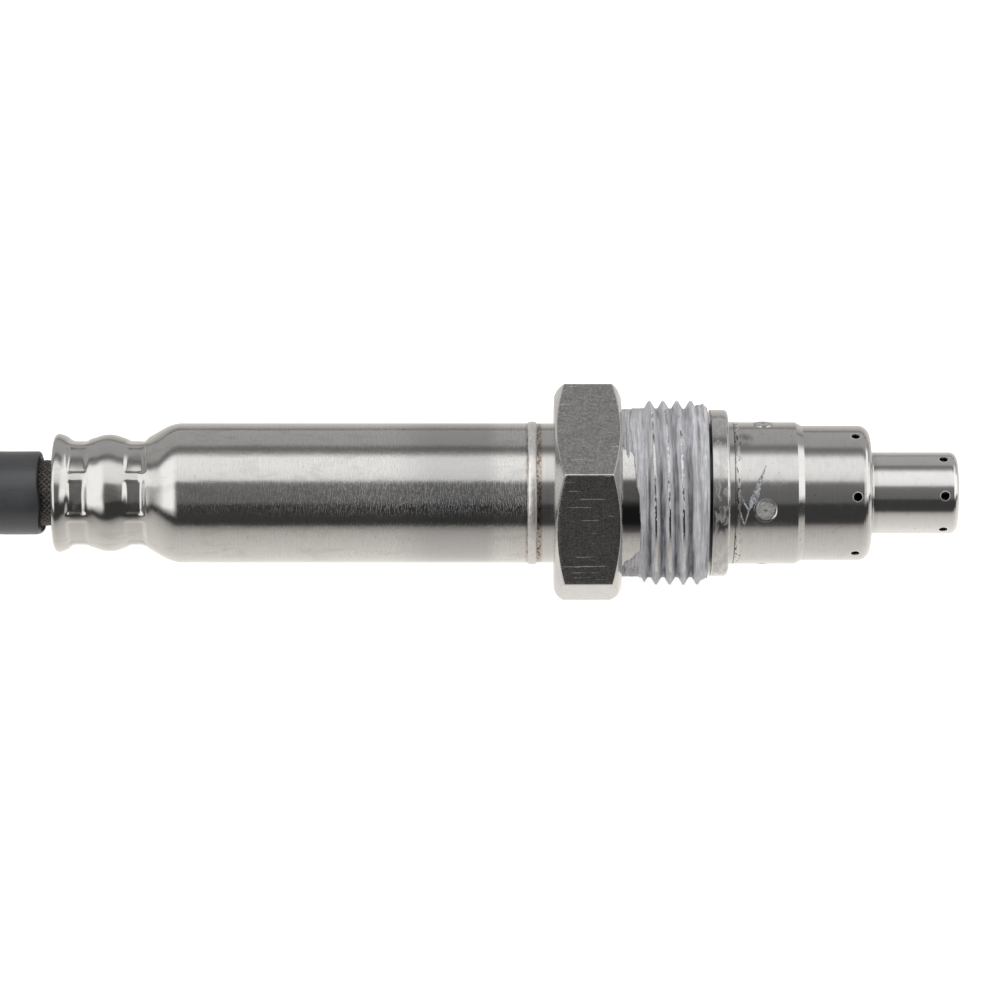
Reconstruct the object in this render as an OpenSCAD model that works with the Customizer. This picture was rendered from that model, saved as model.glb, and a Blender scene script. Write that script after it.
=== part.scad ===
// Nitrogen oxide probe for an exhaust pipe, with its sleeved lead put away in a hank.
// The axis is X with the gas tip towards +X, and the origin is the middle of the mounting thread.
// The probe lies on a flat of its hexagon, so the surface below is half the hexagon's width down.

/* [Union nut] */
// Outer diameter of the mounting thread
thread_d = 20; // [19.5:0.1:24]
// Pitch of the mounting thread
pitch = 1.5; // [1:0.25:1.75]
// Length of the threaded stretch
thread_l = 7.2; // [6:0.1:12]
// Length of the bevel at the thread's nose
nose_bevel = 0.7; // [0.4:0.1:1.2]
// Length of the plain relief between thread and hexagon
relief_l = 2.2; // [1:0.1:4]
// Width of the hexagon across its flats
hex_af = 22; // [21:0.5:27]
// Length of the hexagon
hex_l = 7.25; // [5:0.05:12]
// How far the end bevels cut into the middle of each flat
hex_bevel = 0.45; // [0.3:0.05:1.2]
// Slope of the end bevels, from the end face in degrees
hex_bevel_slope = 26; // [20:1:35]
// Bevel at both mouths of the nut's bore
bore_bevel = 0.4; // [0.2:0.1:0.8]
// Running gap between the nut and the neck that it turns on, per side
run_gap = 0.06; // [0.02:0.01:0.1]
// Gap between the nut's nose and the collar
nut_gap = 0.3; // [0.1:0.05:1]

/* [Housing] */
// Diameter of the neck that carries the nut
neck_d = 15.2; // [14.6:0.1:15.6]
// Length of neck that shows behind the hexagon
neck_show = 2.65; // [1.5:0.05:6]
// Diameter of the collar that seals on the pipe's boss
collar_d = 18.14; // [17:0.1:18.6]
// Length of the collar
collar_l = 1.92; // [1.5:0.02:4]
// Rounding of the collar's front rim
collar_round = 0.4; // [0.2:0.1:0.8]
// Length of the land in front of the collar, where the cap is welded on
land_l = 0.55; // [0.3:0.05:1.5]
// Length of the nose that carries the covers
nose_l = 6; // [5:0.1:6.3]
// Length of the step under the rear sleeve
spigot_l = 2.6; // [1.5:0.1:4]
// Diameter of the gas passage through the nose
passage_d = 9.4; // [8:0.1:10.4]

/* [Rear sleeve] */
// Outside diameter of the long tube
sleeve_d = 15.22; // [14.8:0.02:15.4]
// Wall of the long tube
sleeve_wall = 0.5; // [0.35:0.05:0.7]
// Length from the weld to the rear rim
sleeve_l = 51.85; // [51:0.05:70]
// Width of the weld bead
bead_w = 0.8; // [0.5:0.1:1.4]
// Height of the weld bead
bead_h = 0.14; // [0.08:0.02:0.3]
// Distance from the rear rim to the start of the shoulder
shoulder_at = 13.25; // [12.8:0.05:15]
// Distance from the rear rim to the front row of crimps
front_crimp_at = 9.05; // [8.9:0.05:9.6]
// Distance from the rear rim to the swelling between the rows
swell_at = 6; // [5.6:0.1:6.4]
// Distance from the rear rim to the rear row of crimps
rear_crimp_at = 2.75; // [2.6:0.05:3.2]
// Rounding of the rear rim
rim_round = 0.45; // [0.3:0.05:0.6]
// Diameter of the ridges between the jaw marks
ridge_d = 11.6; // [11.4:0.1:12]
// Distance across opposite jaw marks
jaw_d = 11.2; // [10.8:0.1:11.3]
// Length of each jaw mark
jaw_l = 1.2; // [0.8:0.1:1.6]
// Length of the straight waist under each row of jaw marks
waist_l = 0.6; // [0.2:0.1:0.8]
// Number of jaw marks in a row
jaws = 8; // [6:2:10]
// Diameter of the swelling between the rows
swell_d = 12.76; // [12.3:0.02:13]
// Diameter of the flared rear rim
rim_d = 12.9; // [12.5:0.1:13.4]
// Turn of the jaw marks about the axis
jaw_turn = 46; // [0:1:90]

/* [Protective cap] */
// Outside diameter of the wide rear stretch
cap_d = 15.44; // [15:0.02:15.6]
// Length of the wide rear stretch
cap_l = 6.85; // [6.5:0.05:9]
// Length of the taper down to the body
taper_l = 0.7; // [0.4:0.1:2]
// Outside diameter of the body
body_d = 14.68; // [13.8:0.02:14.8]
// Length from the cap's rear edge to the front of the body
body_front_at = 14.96; // [14.5:0.02:20]
// Rounding of the body's front corner
body_round = 1.25; // [0.8:0.05:2]
// Outside diameter of the tip
tip_d = 8.86; // [7:0.02:10]
// Length of the tip in front of the body
tip_l = 9.55; // [7:0.05:14]
// Rounding at the end of the tip
tip_round = 0.8; // [0.6:0.05:1.4]
// Rounding in the corner at the root of the tip
root_round = 0.4; // [0.2:0.05:0.6]
// Wall of the cap
cap_wall = 0.45; // [0.35:0.05:0.6]
// Diameter of the gas holes
hole_d = 0.95; // [0.6:0.05:1.3]
// Number of gas holes in each ring
holes = 6; // [4:1:8]
// Distance from the body's front to its gas holes
body_hole_back = 1.72; // [1.6:0.02:3]
// Distance from the tip's end to its gas holes
tip_hole_back = 1.58; // [1.5:0.02:3]
// Turn of the body's gas holes about the axis
body_hole_turn = 48; // [0:1:90]
// Turn of the tip's gas holes about the axis
tip_hole_turn = 47; // [0:1:90]
// Diameter of the round stakes
stake_d = 2.05; // [1.6:0.05:2.4]
// Height of the stakes above the wall
stake_h = 0.05; // [0.02:0.01:0.3]
// Diameter of the dish round each stake
dish_d = 2.5; // [2.3:0.05:3]
// Depth of the dish
dish_depth = 0.18; // [0.1:0.02:0.26]
// Distance of the stakes from the cap's rear edge
stake_at = 3.3; // [2.5:0.05:4.5]
// Turn of the stakes about the axis
stake_turn = 37; // [0:1:90]

/* [Inner covers] */
// Wall of the inner covers
cover_wall = 0.4; // [0.3:0.05:0.45]
// Outside diameter of the narrow tube round the sensor element
tube_d = 7.2; // [6.6:0.1:8]
// Length of the narrow tube in front of the nose
tube_l = 4.8; // [3:0.1:5.5]
// Outside diameter of the cup
cup_d = 11.2; // [10:0.1:12.4]
// Space between the cup's front and the cap's front
cup_space = 1.1; // [0.8:0.1:1.5]
// Diameter of the hole in the cup's front
cup_hole_d = 2.4; // [1.5:0.1:3]

/* [Packing] */
// Outside diameter of the inner cylinder
cylinder_d = 12; // [11.6:0.1:12.2]
// Wall of the inner cylinder
cylinder_wall = 0.5; // [0.4:0.05:0.6]
// Diameter of the openings that its rolled rims leave
cylinder_mouth_d = 8.4; // [7.4:0.1:9]
// Thickness of the flange between inner cylinder and housing
flange_t = 0.7; // [0.5:0.1:1.2]
// Length of the front ceramic support
front_support_l = 6; // [4:0.5:8]
// Length of the front talc packing
front_talc_l = 5; // [3:0.5:7]
// Length of the middle ceramic support
middle_support_l = 4.5; // [3:0.5:6]
// Length of the rear talc packing
rear_talc_l = 5; // [3:0.5:7]
// Length of the rear ceramic support
rear_support_l = 5; // [3:0.5:7]
// Thickness of the press ring
press_ring_t = 1; // [0.8:0.1:1.6]

/* [Sensor element and contacts] */
// Width of the sensor element
element_w = 4.25; // [3.8:0.05:4.4]
// Thickness of the sensor element
element_t = 1.45; // [1.2:0.05:1.6]
// Length of the sensor element
element_l = 66.5; // [64:0.5:67.5]
// Space between the element's tip and the cup's front
element_space = 1.6; // [1.2:0.1:2.5]
// Outside diameter of the ceramic contact blocks
block_d = 11.2; // [10:0.1:12]
// Length of the ceramic contact blocks
block_l = 9.5; // [8:0.5:12]
// Wall of the clip ring round the blocks
clip_wall = 0.45; // [0.3:0.05:0.7]
// Length of the clip ring
clip_l = 4.5; // [3:0.5:7]
// Thickness of the contact terminals
strip_t = 0.25; // [0.2:0.05:0.35]
// Width of the contact terminals
strip_w = 0.7; // [0.5:0.05:0.8]
// Diameter of the crimp barrels on the terminals
barrel_d = 1.6; // [1.5:0.05:1.7]
// Length of the crimp barrels
barrel_l = 2.1; // [1.5:0.1:3]

/* [Grommet and lead] */
// Length of the rubber grommet
grommet_l = 12.6; // [11.5:0.1:13.6]
// How far the grommet's rear face lies inside the rim
grommet_back = 0.7; // [0.4:0.1:1.4]
// Diameter of the lead wires
wire_d = 1.5; // [1.2:0.05:1.6]
// Diameter of the circle that the wires lie on
wire_ring_d = 4.8; // [4.6:0.1:4.9]
// Outside diameter of the woven inner sleeve
braid_d = 7.2; // [6.9:0.1:7.8]
// Wall of the woven inner sleeve
braid_wall = 0.4; // [0.3:0.05:0.45]
// How deep the woven sleeve goes into the grommet
braid_in = 1.5; // [1:0.1:2]
// Outside diameter of the lead's black sleeve
lead_d = 9.1; // [8:0.1:9.6]
// Gap between the rim and the black sleeve, where the woven sleeve shows
lead_gap = 1.15; // [0.3:0.05:2]

/* [Connector on the lead] */
// Width of the connector's body
plug_w = 24; // [20:0.5:30]
// Height of the connector's body
plug_h = 11; // [10:0.5:14]
// Length of the connector's body
plug_l = 24; // [18:0.5:30]
// Rounding of the body's long edges
plug_round = 2.5; // [1:0.5:4]
// Length of the rubber boot
boot_l = 12; // [8:0.5:20]
// Length of the front tower that holds the contacts
tower_l = 10; // [8:0.5:14]
// Wall that the tower is set in by, all round
tower_in = 1.6; // [1.2:0.1:2]
// Spacing of the contacts
contact_pitch = 3.6; // [3:0.1:4]
// Diameter of the contacts
contact_d = 1.8; // [1.2:0.1:2]

/* [Hidden] */

round_fn = 96;
hole_fn = 32;
// Fit between thin pressed or pushed pieces, per side
fit = 0.03;
// Overrun of a cut past the face that it opens
over = 1;

// Nut, from the thread outwards
thread_r = thread_d / 2;
thread_depth = 0.6134 * pitch;
flank_run = thread_depth * tan(30);
crest = pitch / 8;
groove_floor = pitch - crest - 2 * flank_run;
relief_r = thread_r - thread_depth - fit;
nut_nose_x = thread_l / 2;
relief_x = -thread_l / 2;
hex_front_x = relief_x - relief_l;
hex_rear_x = hex_front_x - hex_l;
hex_corner_r = hex_af / 2 / cos(30);
hex_face_r = hex_af / 2 - hex_bevel;
hex_bevel_l = (hex_corner_r - hex_face_r) * tan(hex_bevel_slope);
first_groove_x = relief_x + flank_run + crest / 2 + pitch / 2;
grooves = floor((nut_nose_x - first_groove_x - groove_floor / 2 - flank_run) / pitch) + 1;
floor_z = -hex_af / 2;

// Housing, from the nut forwards
neck_r = neck_d / 2;
nut_bore_r = neck_r + run_gap;
collar_r = collar_d / 2;
collar_rear_x = nut_nose_x + nut_gap;
collar_front_x = collar_rear_x + collar_l;
cap_rear_x = collar_front_x + land_l;
joint_x = hex_rear_x - neck_show;
spigot_rear_x = joint_x - spigot_l;
nose_front_x = cap_rear_x + nose_l;

// Covers that sit over one another on the nose
cap_r = cap_d / 2;
land_r = cap_r + fit;
cup_seat_r = cap_r - cap_wall - fit;
tube_seat_r = cup_seat_r - cover_wall - fit;
nose_r = tube_seat_r - cover_wall - fit;
body_r = body_d / 2;
tip_r = tip_d / 2;
body_front_x = cap_rear_x + body_front_at;
tip_front_x = body_front_x + tip_l;
cup_front_x = body_front_x - cap_wall - cup_space;
cover_rear_x = cap_rear_x + land_l / 2;
tube_plate_x = nose_front_x + fit + cover_wall;
tube_front_x = tube_plate_x + tube_l;
cup_taper_x = tube_plate_x + fit + cover_wall / 2;
cup_taper_l = cup_seat_r - cup_d / 2;

// Rear sleeve, from the weld backwards
sleeve_r = sleeve_d / 2;
rim_x = joint_x - sleeve_l;
spigot_r = sleeve_r - sleeve_wall - fit;
front_crimp_x = rim_x + front_crimp_at;
rear_crimp_x = rim_x + rear_crimp_at;
sleeve_line = concat(
    [[joint_x, sleeve_r]],
    swing([rim_x + shoulder_at, sleeve_r], [front_crimp_x + waist_l / 2, ridge_d / 2]),
    swing([front_crimp_x - waist_l / 2, ridge_d / 2], [rim_x + swell_at, swell_d / 2]),
    swing([rim_x + swell_at, swell_d / 2], [rear_crimp_x + waist_l / 2, ridge_d / 2]),
    swing([rear_crimp_x - waist_l / 2, ridge_d / 2], [rim_x + rim_round, rim_d / 2]),
    arc([rim_x + rim_round, rim_d / 2 - rim_round], rim_round, 90, 180, 5));

// Packing stack, from its front end backwards
cylinder_r = cylinder_d / 2;
packing_r = cylinder_r - cylinder_wall - fit;
cylinder_front_x = collar_rear_x;
front_support_x = cylinder_front_x - cylinder_wall;
front_talc_x = front_support_x - front_support_l;
middle_support_x = front_talc_x - front_talc_l;
rear_talc_x = middle_support_x - middle_support_l;
rear_support_x = rear_talc_x - rear_talc_l;
press_ring_x = rear_support_x - rear_support_l;
stack_rear_x = press_ring_x - press_ring_t;
cylinder_rear_x = stack_rear_x - cylinder_wall;

// Sensor element and its contacts
element_front_x = cup_front_x - cover_wall - element_space;
element_rear_x = element_front_x - element_l;
block_rear_x = element_rear_x + 0.6;
strip_z = element_t / 2 + fit;
strip_rear_x = element_rear_x - 0.4;
barrel_rear_x = strip_rear_x - strip_t - barrel_l;
wire_ring_r = wire_ring_d / 2;
wires = 8;
wire_spots = [for (i = [0 : wires - 1]) let (a = 360 / wires * (i + 0.5))
    [wire_ring_r * cos(a), wire_ring_r * sin(a)]];

// Grommet and lead
grommet_rear_x = rim_x + grommet_back;
lead_r = lead_d / 2;
lead_front_x = rim_x - lead_gap;

// Route of the lead over the near loop of its hank, and of its tail, chosen by hand
hank_near_x = -174;
hank_far_x = -184;
route_in = [[-74, 0, 0], [-80, 0, 0.5], [-86, 0, 1.5], [-92, 0, 2.5], [-98, 0, 2.8], [-104, 0, 2.5],
    [-115, 0, 1.5], [-128, 0, 0.5], [-142, 0, 0.2], [-155, 0, 1], [-166, 0, 2], [-174, 0, 2.4]];
route_out = [[-264, 0, -6.4], [-268, 0, -6.2], [-272, 0, -5.8], [-276, 0, -5.5]];
// Loops of the hank: radius of their bends, and half the spacing of the two lower runs
loop_r = 29;
run_half = 4.6;
// Heights of the lower and upper runs at the tie, and the tops of the two loops
low_run_z = -5.4;
high_run_z = 2.4;
near_loop_top = -2;
far_loop_top = 7.2;
loop_shift = sqrt(pow(2 * loop_r, 2) - pow(loop_r + run_half, 2));
loop_part = acos(loop_shift / (2 * loop_r));
tie_t = 1;
tie_w = 4.8;
tie_head = [6.6, 6, 3];

// Connector, from the boot backwards
boot_x = -276;
plug_z = floor_z + plug_h / 2;
plug_rear_x = boot_x - boot_l;
tower_x = plug_rear_x - plug_l;
tower_w = plug_w - 2 * tower_in - 3;
tower_h = plug_h - 2 * tower_in;
tower_round = plug_round - 0.6;
seal_t = 0.9;
seal_l = 3;
boot_r = lead_r + 0.9;
boot_rings = 5;
ring_depth = 0.45;
latch_w = 7;
latch_t = 1;
latch_rise = 2.2;
rail_w = 1.6;
contact_spots = [for (row = [-0.5, 0.5], k = [-1.5 : 1.5]) [k * contact_pitch, row * contact_pitch]];

// Points along a smooth S between two levels
function swing(a, b, n = 8) = [for (i = [0 : n - 1]) let (t = i / n)
    [a.x + (b.x - a.x) * t, a.y + (b.y - a.y) * (1 - cos(180 * t)) / 2]];
// Points along an arc
function arc(c, r, a0, a1, n = 8) = [for (i = [0 : n]) let (a = a0 + (a1 - a0) * i / n)
    c + r * [cos(a), sin(a)]];

// Turns an outline of [along X, radius] points about the X axis
module turned(points, fn = round_fn)
    rotate([0, 90, 0]) rotate_extrude($fn = fn) polygon([for (p = points) [p.y, p.x]]);
// A rod along X from one place to another
module rod(x0, x1, r, fn = round_fn)
    translate([x0, 0, 0]) rotate([0, 90, 0]) cylinder(h = x1 - x0, r = r, $fn = fn);
// A flat shape in Y and Z carried along X
module bar(x0, x1)
    translate([x0, 0, 0]) rotate([90, 0, 90]) linear_extrude(x1 - x0) children();
// Puts what is modelled upwards at an angle that counts from the viewer's side over the top
module at_turn(angle) rotate([90 - angle, 0, 0]) children();
module ring_of(n, start)
    for (i = [0 : n - 1]) at_turn(start + 360 / n * i) children();
module rounded(w, h, r) {
    square([w, h - 2 * r], center = true);
    square([w - 2 * r, h], center = true);
    for (sx = [-1, 1], sy = [-1, 1]) translate([sx * (w / 2 - r), sy * (h / 2 - r)]) circle(r, $fn = 24);
}

module union_nut() color("gainsboro") {
    blank = [[hex_rear_x + over, nut_bore_r - over], [hex_rear_x + over, relief_r],
        [relief_x, relief_r], [relief_x + flank_run, thread_r],
        [nut_nose_x - nose_bevel, thread_r], [nut_nose_x, thread_r - nose_bevel],
        [nut_nose_x, nut_bore_r - over]];
    bevels = [[hex_rear_x, 0], [hex_rear_x, hex_face_r], [hex_rear_x + hex_bevel_l, hex_corner_r],
        [hex_front_x - hex_bevel_l, hex_corner_r], [hex_front_x, hex_face_r], [hex_front_x, 0]];
    difference() {
        union() {
            intersection() {
                rotate([30, 0, 0]) rod(hex_rear_x, hex_front_x, hex_corner_r, 6);
                turned(bevels);
            }
            rotate([0, 90, 0]) rotate_extrude($fn = round_fn) difference() {
                polygon([for (p = blank) [p.y, p.x]]);
                for (k = [0 : grooves - 1]) thread_groove(first_groove_x + k * pitch);
            }
        }
        rod(hex_rear_x - over, nut_nose_x + over, nut_bore_r);
        turned([[hex_rear_x - over, 0], [hex_rear_x - over, nut_bore_r + bore_bevel + over],
            [hex_rear_x + bore_bevel, nut_bore_r], [hex_rear_x + bore_bevel, 0]]);
        turned([[nut_nose_x + over, 0], [nut_nose_x + over, nut_bore_r + bore_bevel + over],
            [nut_nose_x - bore_bevel, nut_bore_r], [nut_nose_x - bore_bevel, 0]]);
    }
}
module thread_groove(x) {
    half = groove_floor / 2;
    rise = over / tan(60) + flank_run;
    polygon([[thread_r - thread_depth, x - half], [thread_r + over, x - half - rise],
        [thread_r + over, x + half + rise], [thread_r - thread_depth, x + half]]);
}

module housing() color("silver") {
    outline = concat(
        [[spigot_rear_x, 0], [spigot_rear_x, spigot_r], [joint_x, spigot_r], [joint_x, neck_r],
            [collar_rear_x, neck_r], [collar_rear_x, collar_r]],
        arc([collar_front_x - collar_round, collar_r - collar_round], collar_round, 90, 0, 6),
        [[collar_front_x, land_r], [cap_rear_x, land_r], [cap_rear_x, nose_r],
            [nose_front_x - fit, nose_r], [nose_front_x - fit, 0]]);
    difference() {
        turned(outline);
        rod(spigot_rear_x - over, cylinder_front_x + fit, cylinder_r + fit);
        rod(cylinder_front_x - over, nose_front_x + over, passage_d / 2);
        ring_of(4, stake_turn) translate([cap_rear_x + stake_at, 0, nose_r - 0.4])
            cylinder(h = over, d = stake_d, $fn = hole_fn);
    }
}

// Solid body under the rear sleeve's line, set in from it, with the jaw marks cut in
module crimped(inset, front_x, rear_x) {
    line = [for (p = sleeve_line) [p.x, p.y - inset]];
    last = line[len(line) - 1];
    difference() {
        turned(concat([[front_x, 0], [front_x, line[0].y]], line,
            rear_x < last.x ? [[rear_x, last.y], [rear_x, 0]] : [[last.x, 0]]));
        for (x = [front_crimp_x, rear_crimp_x]) ring_of(jaws, jaw_turn) jaw_mark(x, jaw_d / 2 - inset);
    }
}
module jaw_mark(x, level) {
    depth = 1.2;
    half = jaw_l / 2;
    rotate([90, 0, 0]) linear_extrude(jaw_d * 0.6, center = true)
        polygon([[x - half, level], [x + half, level],
            [x + half + depth, level + depth], [x - half - depth, level + depth]]);
}
module rear_sleeve() color("silver") {
    bead = concat([[joint_x - bead_w / 2, sleeve_r - sleeve_wall / 2], [joint_x - bead_w / 2, sleeve_r]],
        [for (i = [1 : 7]) [joint_x - bead_w / 2 + bead_w * i / 8, sleeve_r + bead_h * sin(180 * i / 8)]],
        [[joint_x + bead_w / 2, neck_r + fit], [joint_x, neck_r + fit],
            [joint_x, sleeve_r - sleeve_wall / 2]]);
    difference() {
        crimped(0, joint_x, rim_x);
        crimped(sleeve_wall, joint_x + over, rim_x - over);
    }
    turned(bead);
}

// A round stake that stands in a shallow dish of the cap's wall, with a centre mark
module stake() difference() {
    translate([0, 0, cap_r - cap_wall / 2]) cylinder(h = cap_wall / 2 + stake_h, d = stake_d, $fn = hole_fn);
    translate([0, 0, cap_r - stake_h]) cylinder(h = over, d = stake_d / 4, $fn = hole_fn);
}
module stake_dish() translate([0, 0, cap_r - dish_depth])
    cylinder(h = 2 * dish_depth, d1 = stake_d, d2 = 2 * dish_d - stake_d, $fn = hole_fn);
module protective_cap() color("lightgray") {
    taper_x = cap_rear_x + cap_l;
    outside = concat(
        [[cap_rear_x, cap_r], [taper_x, cap_r], [taper_x + taper_l, body_r]],
        arc([body_front_x - body_round, body_r - body_round], body_round, 90, 0),
        arc([body_front_x + root_round, tip_r + root_round], root_round, 180, 270, 5),
        arc([tip_front_x - tip_round, tip_r - tip_round], tip_round, 90, 0, 6), [[tip_front_x, 0]]);
    inside = concat(
        [[tip_front_x - cap_wall, 0]],
        arc([tip_front_x - tip_round, tip_r - tip_round], tip_round - cap_wall, 0, 90, 6),
        arc([body_front_x + root_round, tip_r + root_round], root_round + cap_wall, 270, 180, 5),
        arc([body_front_x - body_round, body_r - body_round], body_round - cap_wall, 0, 90),
        [[taper_x + taper_l, body_r - cap_wall], [taper_x, cap_r - cap_wall],
            [cap_rear_x, cap_r - cap_wall]]);
    difference() {
        turned(concat(outside, inside));
        ring_of(4, stake_turn) translate([cap_rear_x + stake_at, 0, 0]) stake_dish();
        ring_of(holes, body_hole_turn) translate([body_front_x - body_hole_back, 0, body_r - over])
            cylinder(h = 2 * over, d = hole_d, $fn = hole_fn);
        ring_of(holes, tip_hole_turn) translate([tip_front_x - tip_hole_back, 0, tip_r - over])
            cylinder(h = 2 * over, d = hole_d, $fn = hole_fn);
    }
    ring_of(4, stake_turn) translate([cap_rear_x + stake_at, 0, 0]) stake();
}

module inner_cover_tube() color("darkgray") {
    plate_rear_x = tube_plate_x - cover_wall;
    turned([[cover_rear_x, nose_r + fit], [cover_rear_x, tube_seat_r], [tube_plate_x, tube_seat_r],
        [tube_plate_x, tube_d / 2], [tube_front_x, tube_d / 2], [tube_front_x, tube_d / 2 - cover_wall],
        [plate_rear_x, tube_d / 2 - cover_wall], [plate_rear_x, nose_r + fit]]);
}

module inner_cover_cup() color("darkgray") {
    r = cup_d / 2;
    bend = 0.8;
    outside = concat(
        [[cover_rear_x, cup_seat_r], [cup_taper_x, cup_seat_r], [cup_taper_x + cup_taper_l, r]],
        arc([cup_front_x - bend, r - bend], bend, 90, 0, 5), [[cup_front_x, cup_hole_d / 2]]);
    inside = concat(
        [[cup_front_x - cover_wall, cup_hole_d / 2]],
        arc([cup_front_x - bend, r - bend], bend - cover_wall, 0, 90, 5),
        [[cup_taper_x + cup_taper_l - cover_wall / 2, r - cover_wall],
            [cup_taper_x - cover_wall / 2 + fit, cup_seat_r - cover_wall],
            [cover_rear_x, cup_seat_r - cover_wall]]);
    difference() {
        turned(concat(outside, inside));
        ring_of(holes, body_hole_turn + 180 / holes)
            translate([cup_taper_x + cup_taper_l + hole_d, 0, r - over])
            cylinder(h = 2 * over, d = hole_d, $fn = hole_fn);
    }
}

module element_section(gap) {
    corner = 0.25;
    w = element_w / 2 + gap;
    t = element_t / 2 + gap;
    polygon([[w - corner, t], [w, t - corner], [w, corner - t], [w - corner, -t],
        [corner - w, -t], [-w, corner - t], [-w, t - corner], [corner - w, t]]);
}
module sensor_element() color("whitesmoke") bar(element_rear_x, element_front_x) element_section(0);

// A packing piece in the inner cylinder, with the slot that the element goes through
module packing_piece(front_x, length) difference() {
    rod(front_x - length, front_x, packing_r);
    bar(front_x - length - over, front_x + over) element_section(fit);
}
module front_support() color("white") packing_piece(front_support_x, front_support_l);
module front_talc() color("lightgrey") packing_piece(front_talc_x, front_talc_l);
module middle_support() color("white") packing_piece(middle_support_x, middle_support_l);
module rear_talc() color("lightgrey") packing_piece(rear_talc_x, rear_talc_l);
module rear_support() color("white") packing_piece(rear_support_x, rear_support_l);
module press_ring() color("silver") difference() {
    rod(stack_rear_x, press_ring_x, packing_r);
    rod(stack_rear_x - over, press_ring_x + over, cylinder_mouth_d / 2);
}

module inner_cylinder() color("silver") {
    r = cylinder_r;
    inner_r = r - cylinder_wall;
    mouth_r = cylinder_mouth_d / 2;
    turned([[cylinder_rear_x, mouth_r], [cylinder_rear_x, r], [spigot_rear_x - flange_t, r],
        [spigot_rear_x - flange_t, spigot_r], [spigot_rear_x, spigot_r], [spigot_rear_x, r],
        [cylinder_front_x, r], [cylinder_front_x, mouth_r], [front_support_x, mouth_r],
        [front_support_x, inner_r], [stack_rear_x, inner_r], [stack_rear_x, mouth_r]]);
}

// Half of the ceramic contact holder, with the slot for the element and four terminals
module contact_block_half() difference() {
    rod(block_rear_x, block_rear_x + block_l, block_d / 2);
    bar(block_rear_x - over, block_rear_x + block_l + over) union() {
        translate([-block_d, -2 * block_d + fit]) square([2 * block_d, 2 * block_d]);
        translate([-element_w / 2 - strip_w / 2, -block_d])
            square([element_w + strip_w, block_d + strip_z + 2 * strip_t + fit]);
    }
}
module upper_contact_block() color("white") contact_block_half();
module lower_contact_block() color("white") mirror([0, 0, 1]) contact_block_half();

module clip_ring() color("silver") {
    x = block_rear_x + (block_l - clip_l) / 2;
    slit = 2.5;
    difference() {
        rod(x, x + clip_l, block_d / 2 + fit + clip_wall);
        rod(x - over, x + clip_l + over, block_d / 2 + fit);
        translate([x - over, 0, -slit / 2]) cube([clip_l + 2 * over, block_d, slit]);
    }
}

// One terminal: a strip along the element, a step up to its wire, and a crimp barrel
module terminal(spot) {
    strip_y = sign(spot.x) * (abs(spot.x) < wire_ring_r / 2 ? abs(spot.x) - 0.18 : abs(spot.x) - 0.3);
    side = sign(spot.y);
    front_x = block_rear_x + block_l;
    for (part = [[strip_rear_x, strip_z, front_x - strip_rear_x, strip_t],
            [strip_rear_x - strip_t, strip_z, 2 * strip_t, max(strip_t, abs(spot.y) - strip_z)]])
        translate([part[0], strip_y - strip_w / 2, side > 0 ? part[1] : -part[1] - part[3]])
            cube([part[2], strip_w, part[3]]);
    translate([0, spot.x, spot.y])
        rod(barrel_rear_x, strip_rear_x - strip_t / 2, barrel_d / 2, hole_fn);
}
module contact_terminals() color("gold") for (spot = wire_spots) terminal(spot);

module lead_wires() color("white") for (spot = wire_spots)
    translate([0, spot.x, spot.y]) rod(lead_front_x, barrel_rear_x, wire_d / 2, hole_fn);

module grommet() color("dimgray") difference() {
    intersection() {
        crimped(sleeve_wall + fit, joint_x, rim_x - over);
        rod(grommet_rear_x, grommet_rear_x + grommet_l, sleeve_d);
    }
    for (spot = wire_spots) translate([0, spot.x, spot.y])
        rod(grommet_rear_x - over, grommet_rear_x + grommet_l + over, wire_d / 2 + fit, hole_fn);
    rod(grommet_rear_x - over, grommet_rear_x + braid_in, braid_d / 2 + fit);
}

module braid_sleeve() color("saddlebrown") difference() {
    rod(lead_front_x, grommet_rear_x + braid_in, braid_d / 2);
    rod(lead_front_x - over, grommet_rear_x + braid_in + over, braid_d / 2 - braid_wall);
}

// A round cord along a route, as one closed skin with rings square to the route
module cord(route, d, sides = 10) {
    n = len(route);
    ahead = [for (i = [0 : n - 1]) i == 0 || i == n - 1 ? [-1, 0, 0]
        : (route[i + 1] - route[i - 1]) / norm(route[i + 1] - route[i - 1])];
    across = [for (t = ahead) let (s = cross([0, 0, 1], t)) s / norm(s)];
    points = [for (i = [0 : n - 1], k = [0 : sides - 1]) let (a = 360 * k / sides)
        route[i] + d / 2 * (cos(a) * across[i] + sin(a) * cross(ahead[i], across[i]))];
    walls = [for (i = [0 : n - 2], k = [0 : sides - 1]) let (j = (k + 1) % sides)
        [i * sides + j, i * sides + k, (i + 1) * sides + k, (i + 1) * sides + j]];
    first = [for (k = [0 : sides - 1]) k];
    last = [for (k = [sides - 1 : -1 : 0]) (n - 1) * sides + k];
    polyhedron(points, concat([first, last], walls));
}
module lead() color("dimgray") cord(concat([[lead_front_x, 0, 0]], route_in), lead_d);
module lead_tail() color("dimgray") cord(route_out, lead_d);

// Outline of three cords bound together, two below and one in the groove above them
module bundle(gap) polygon(concat(
    arc([run_half, low_run_z], lead_r + gap, -90, 30, 6),
    arc([0, high_run_z], lead_r + gap, 30, 150, 6),
    arc([-run_half, low_run_z], lead_r + gap, 150, 270, 6)));
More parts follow.
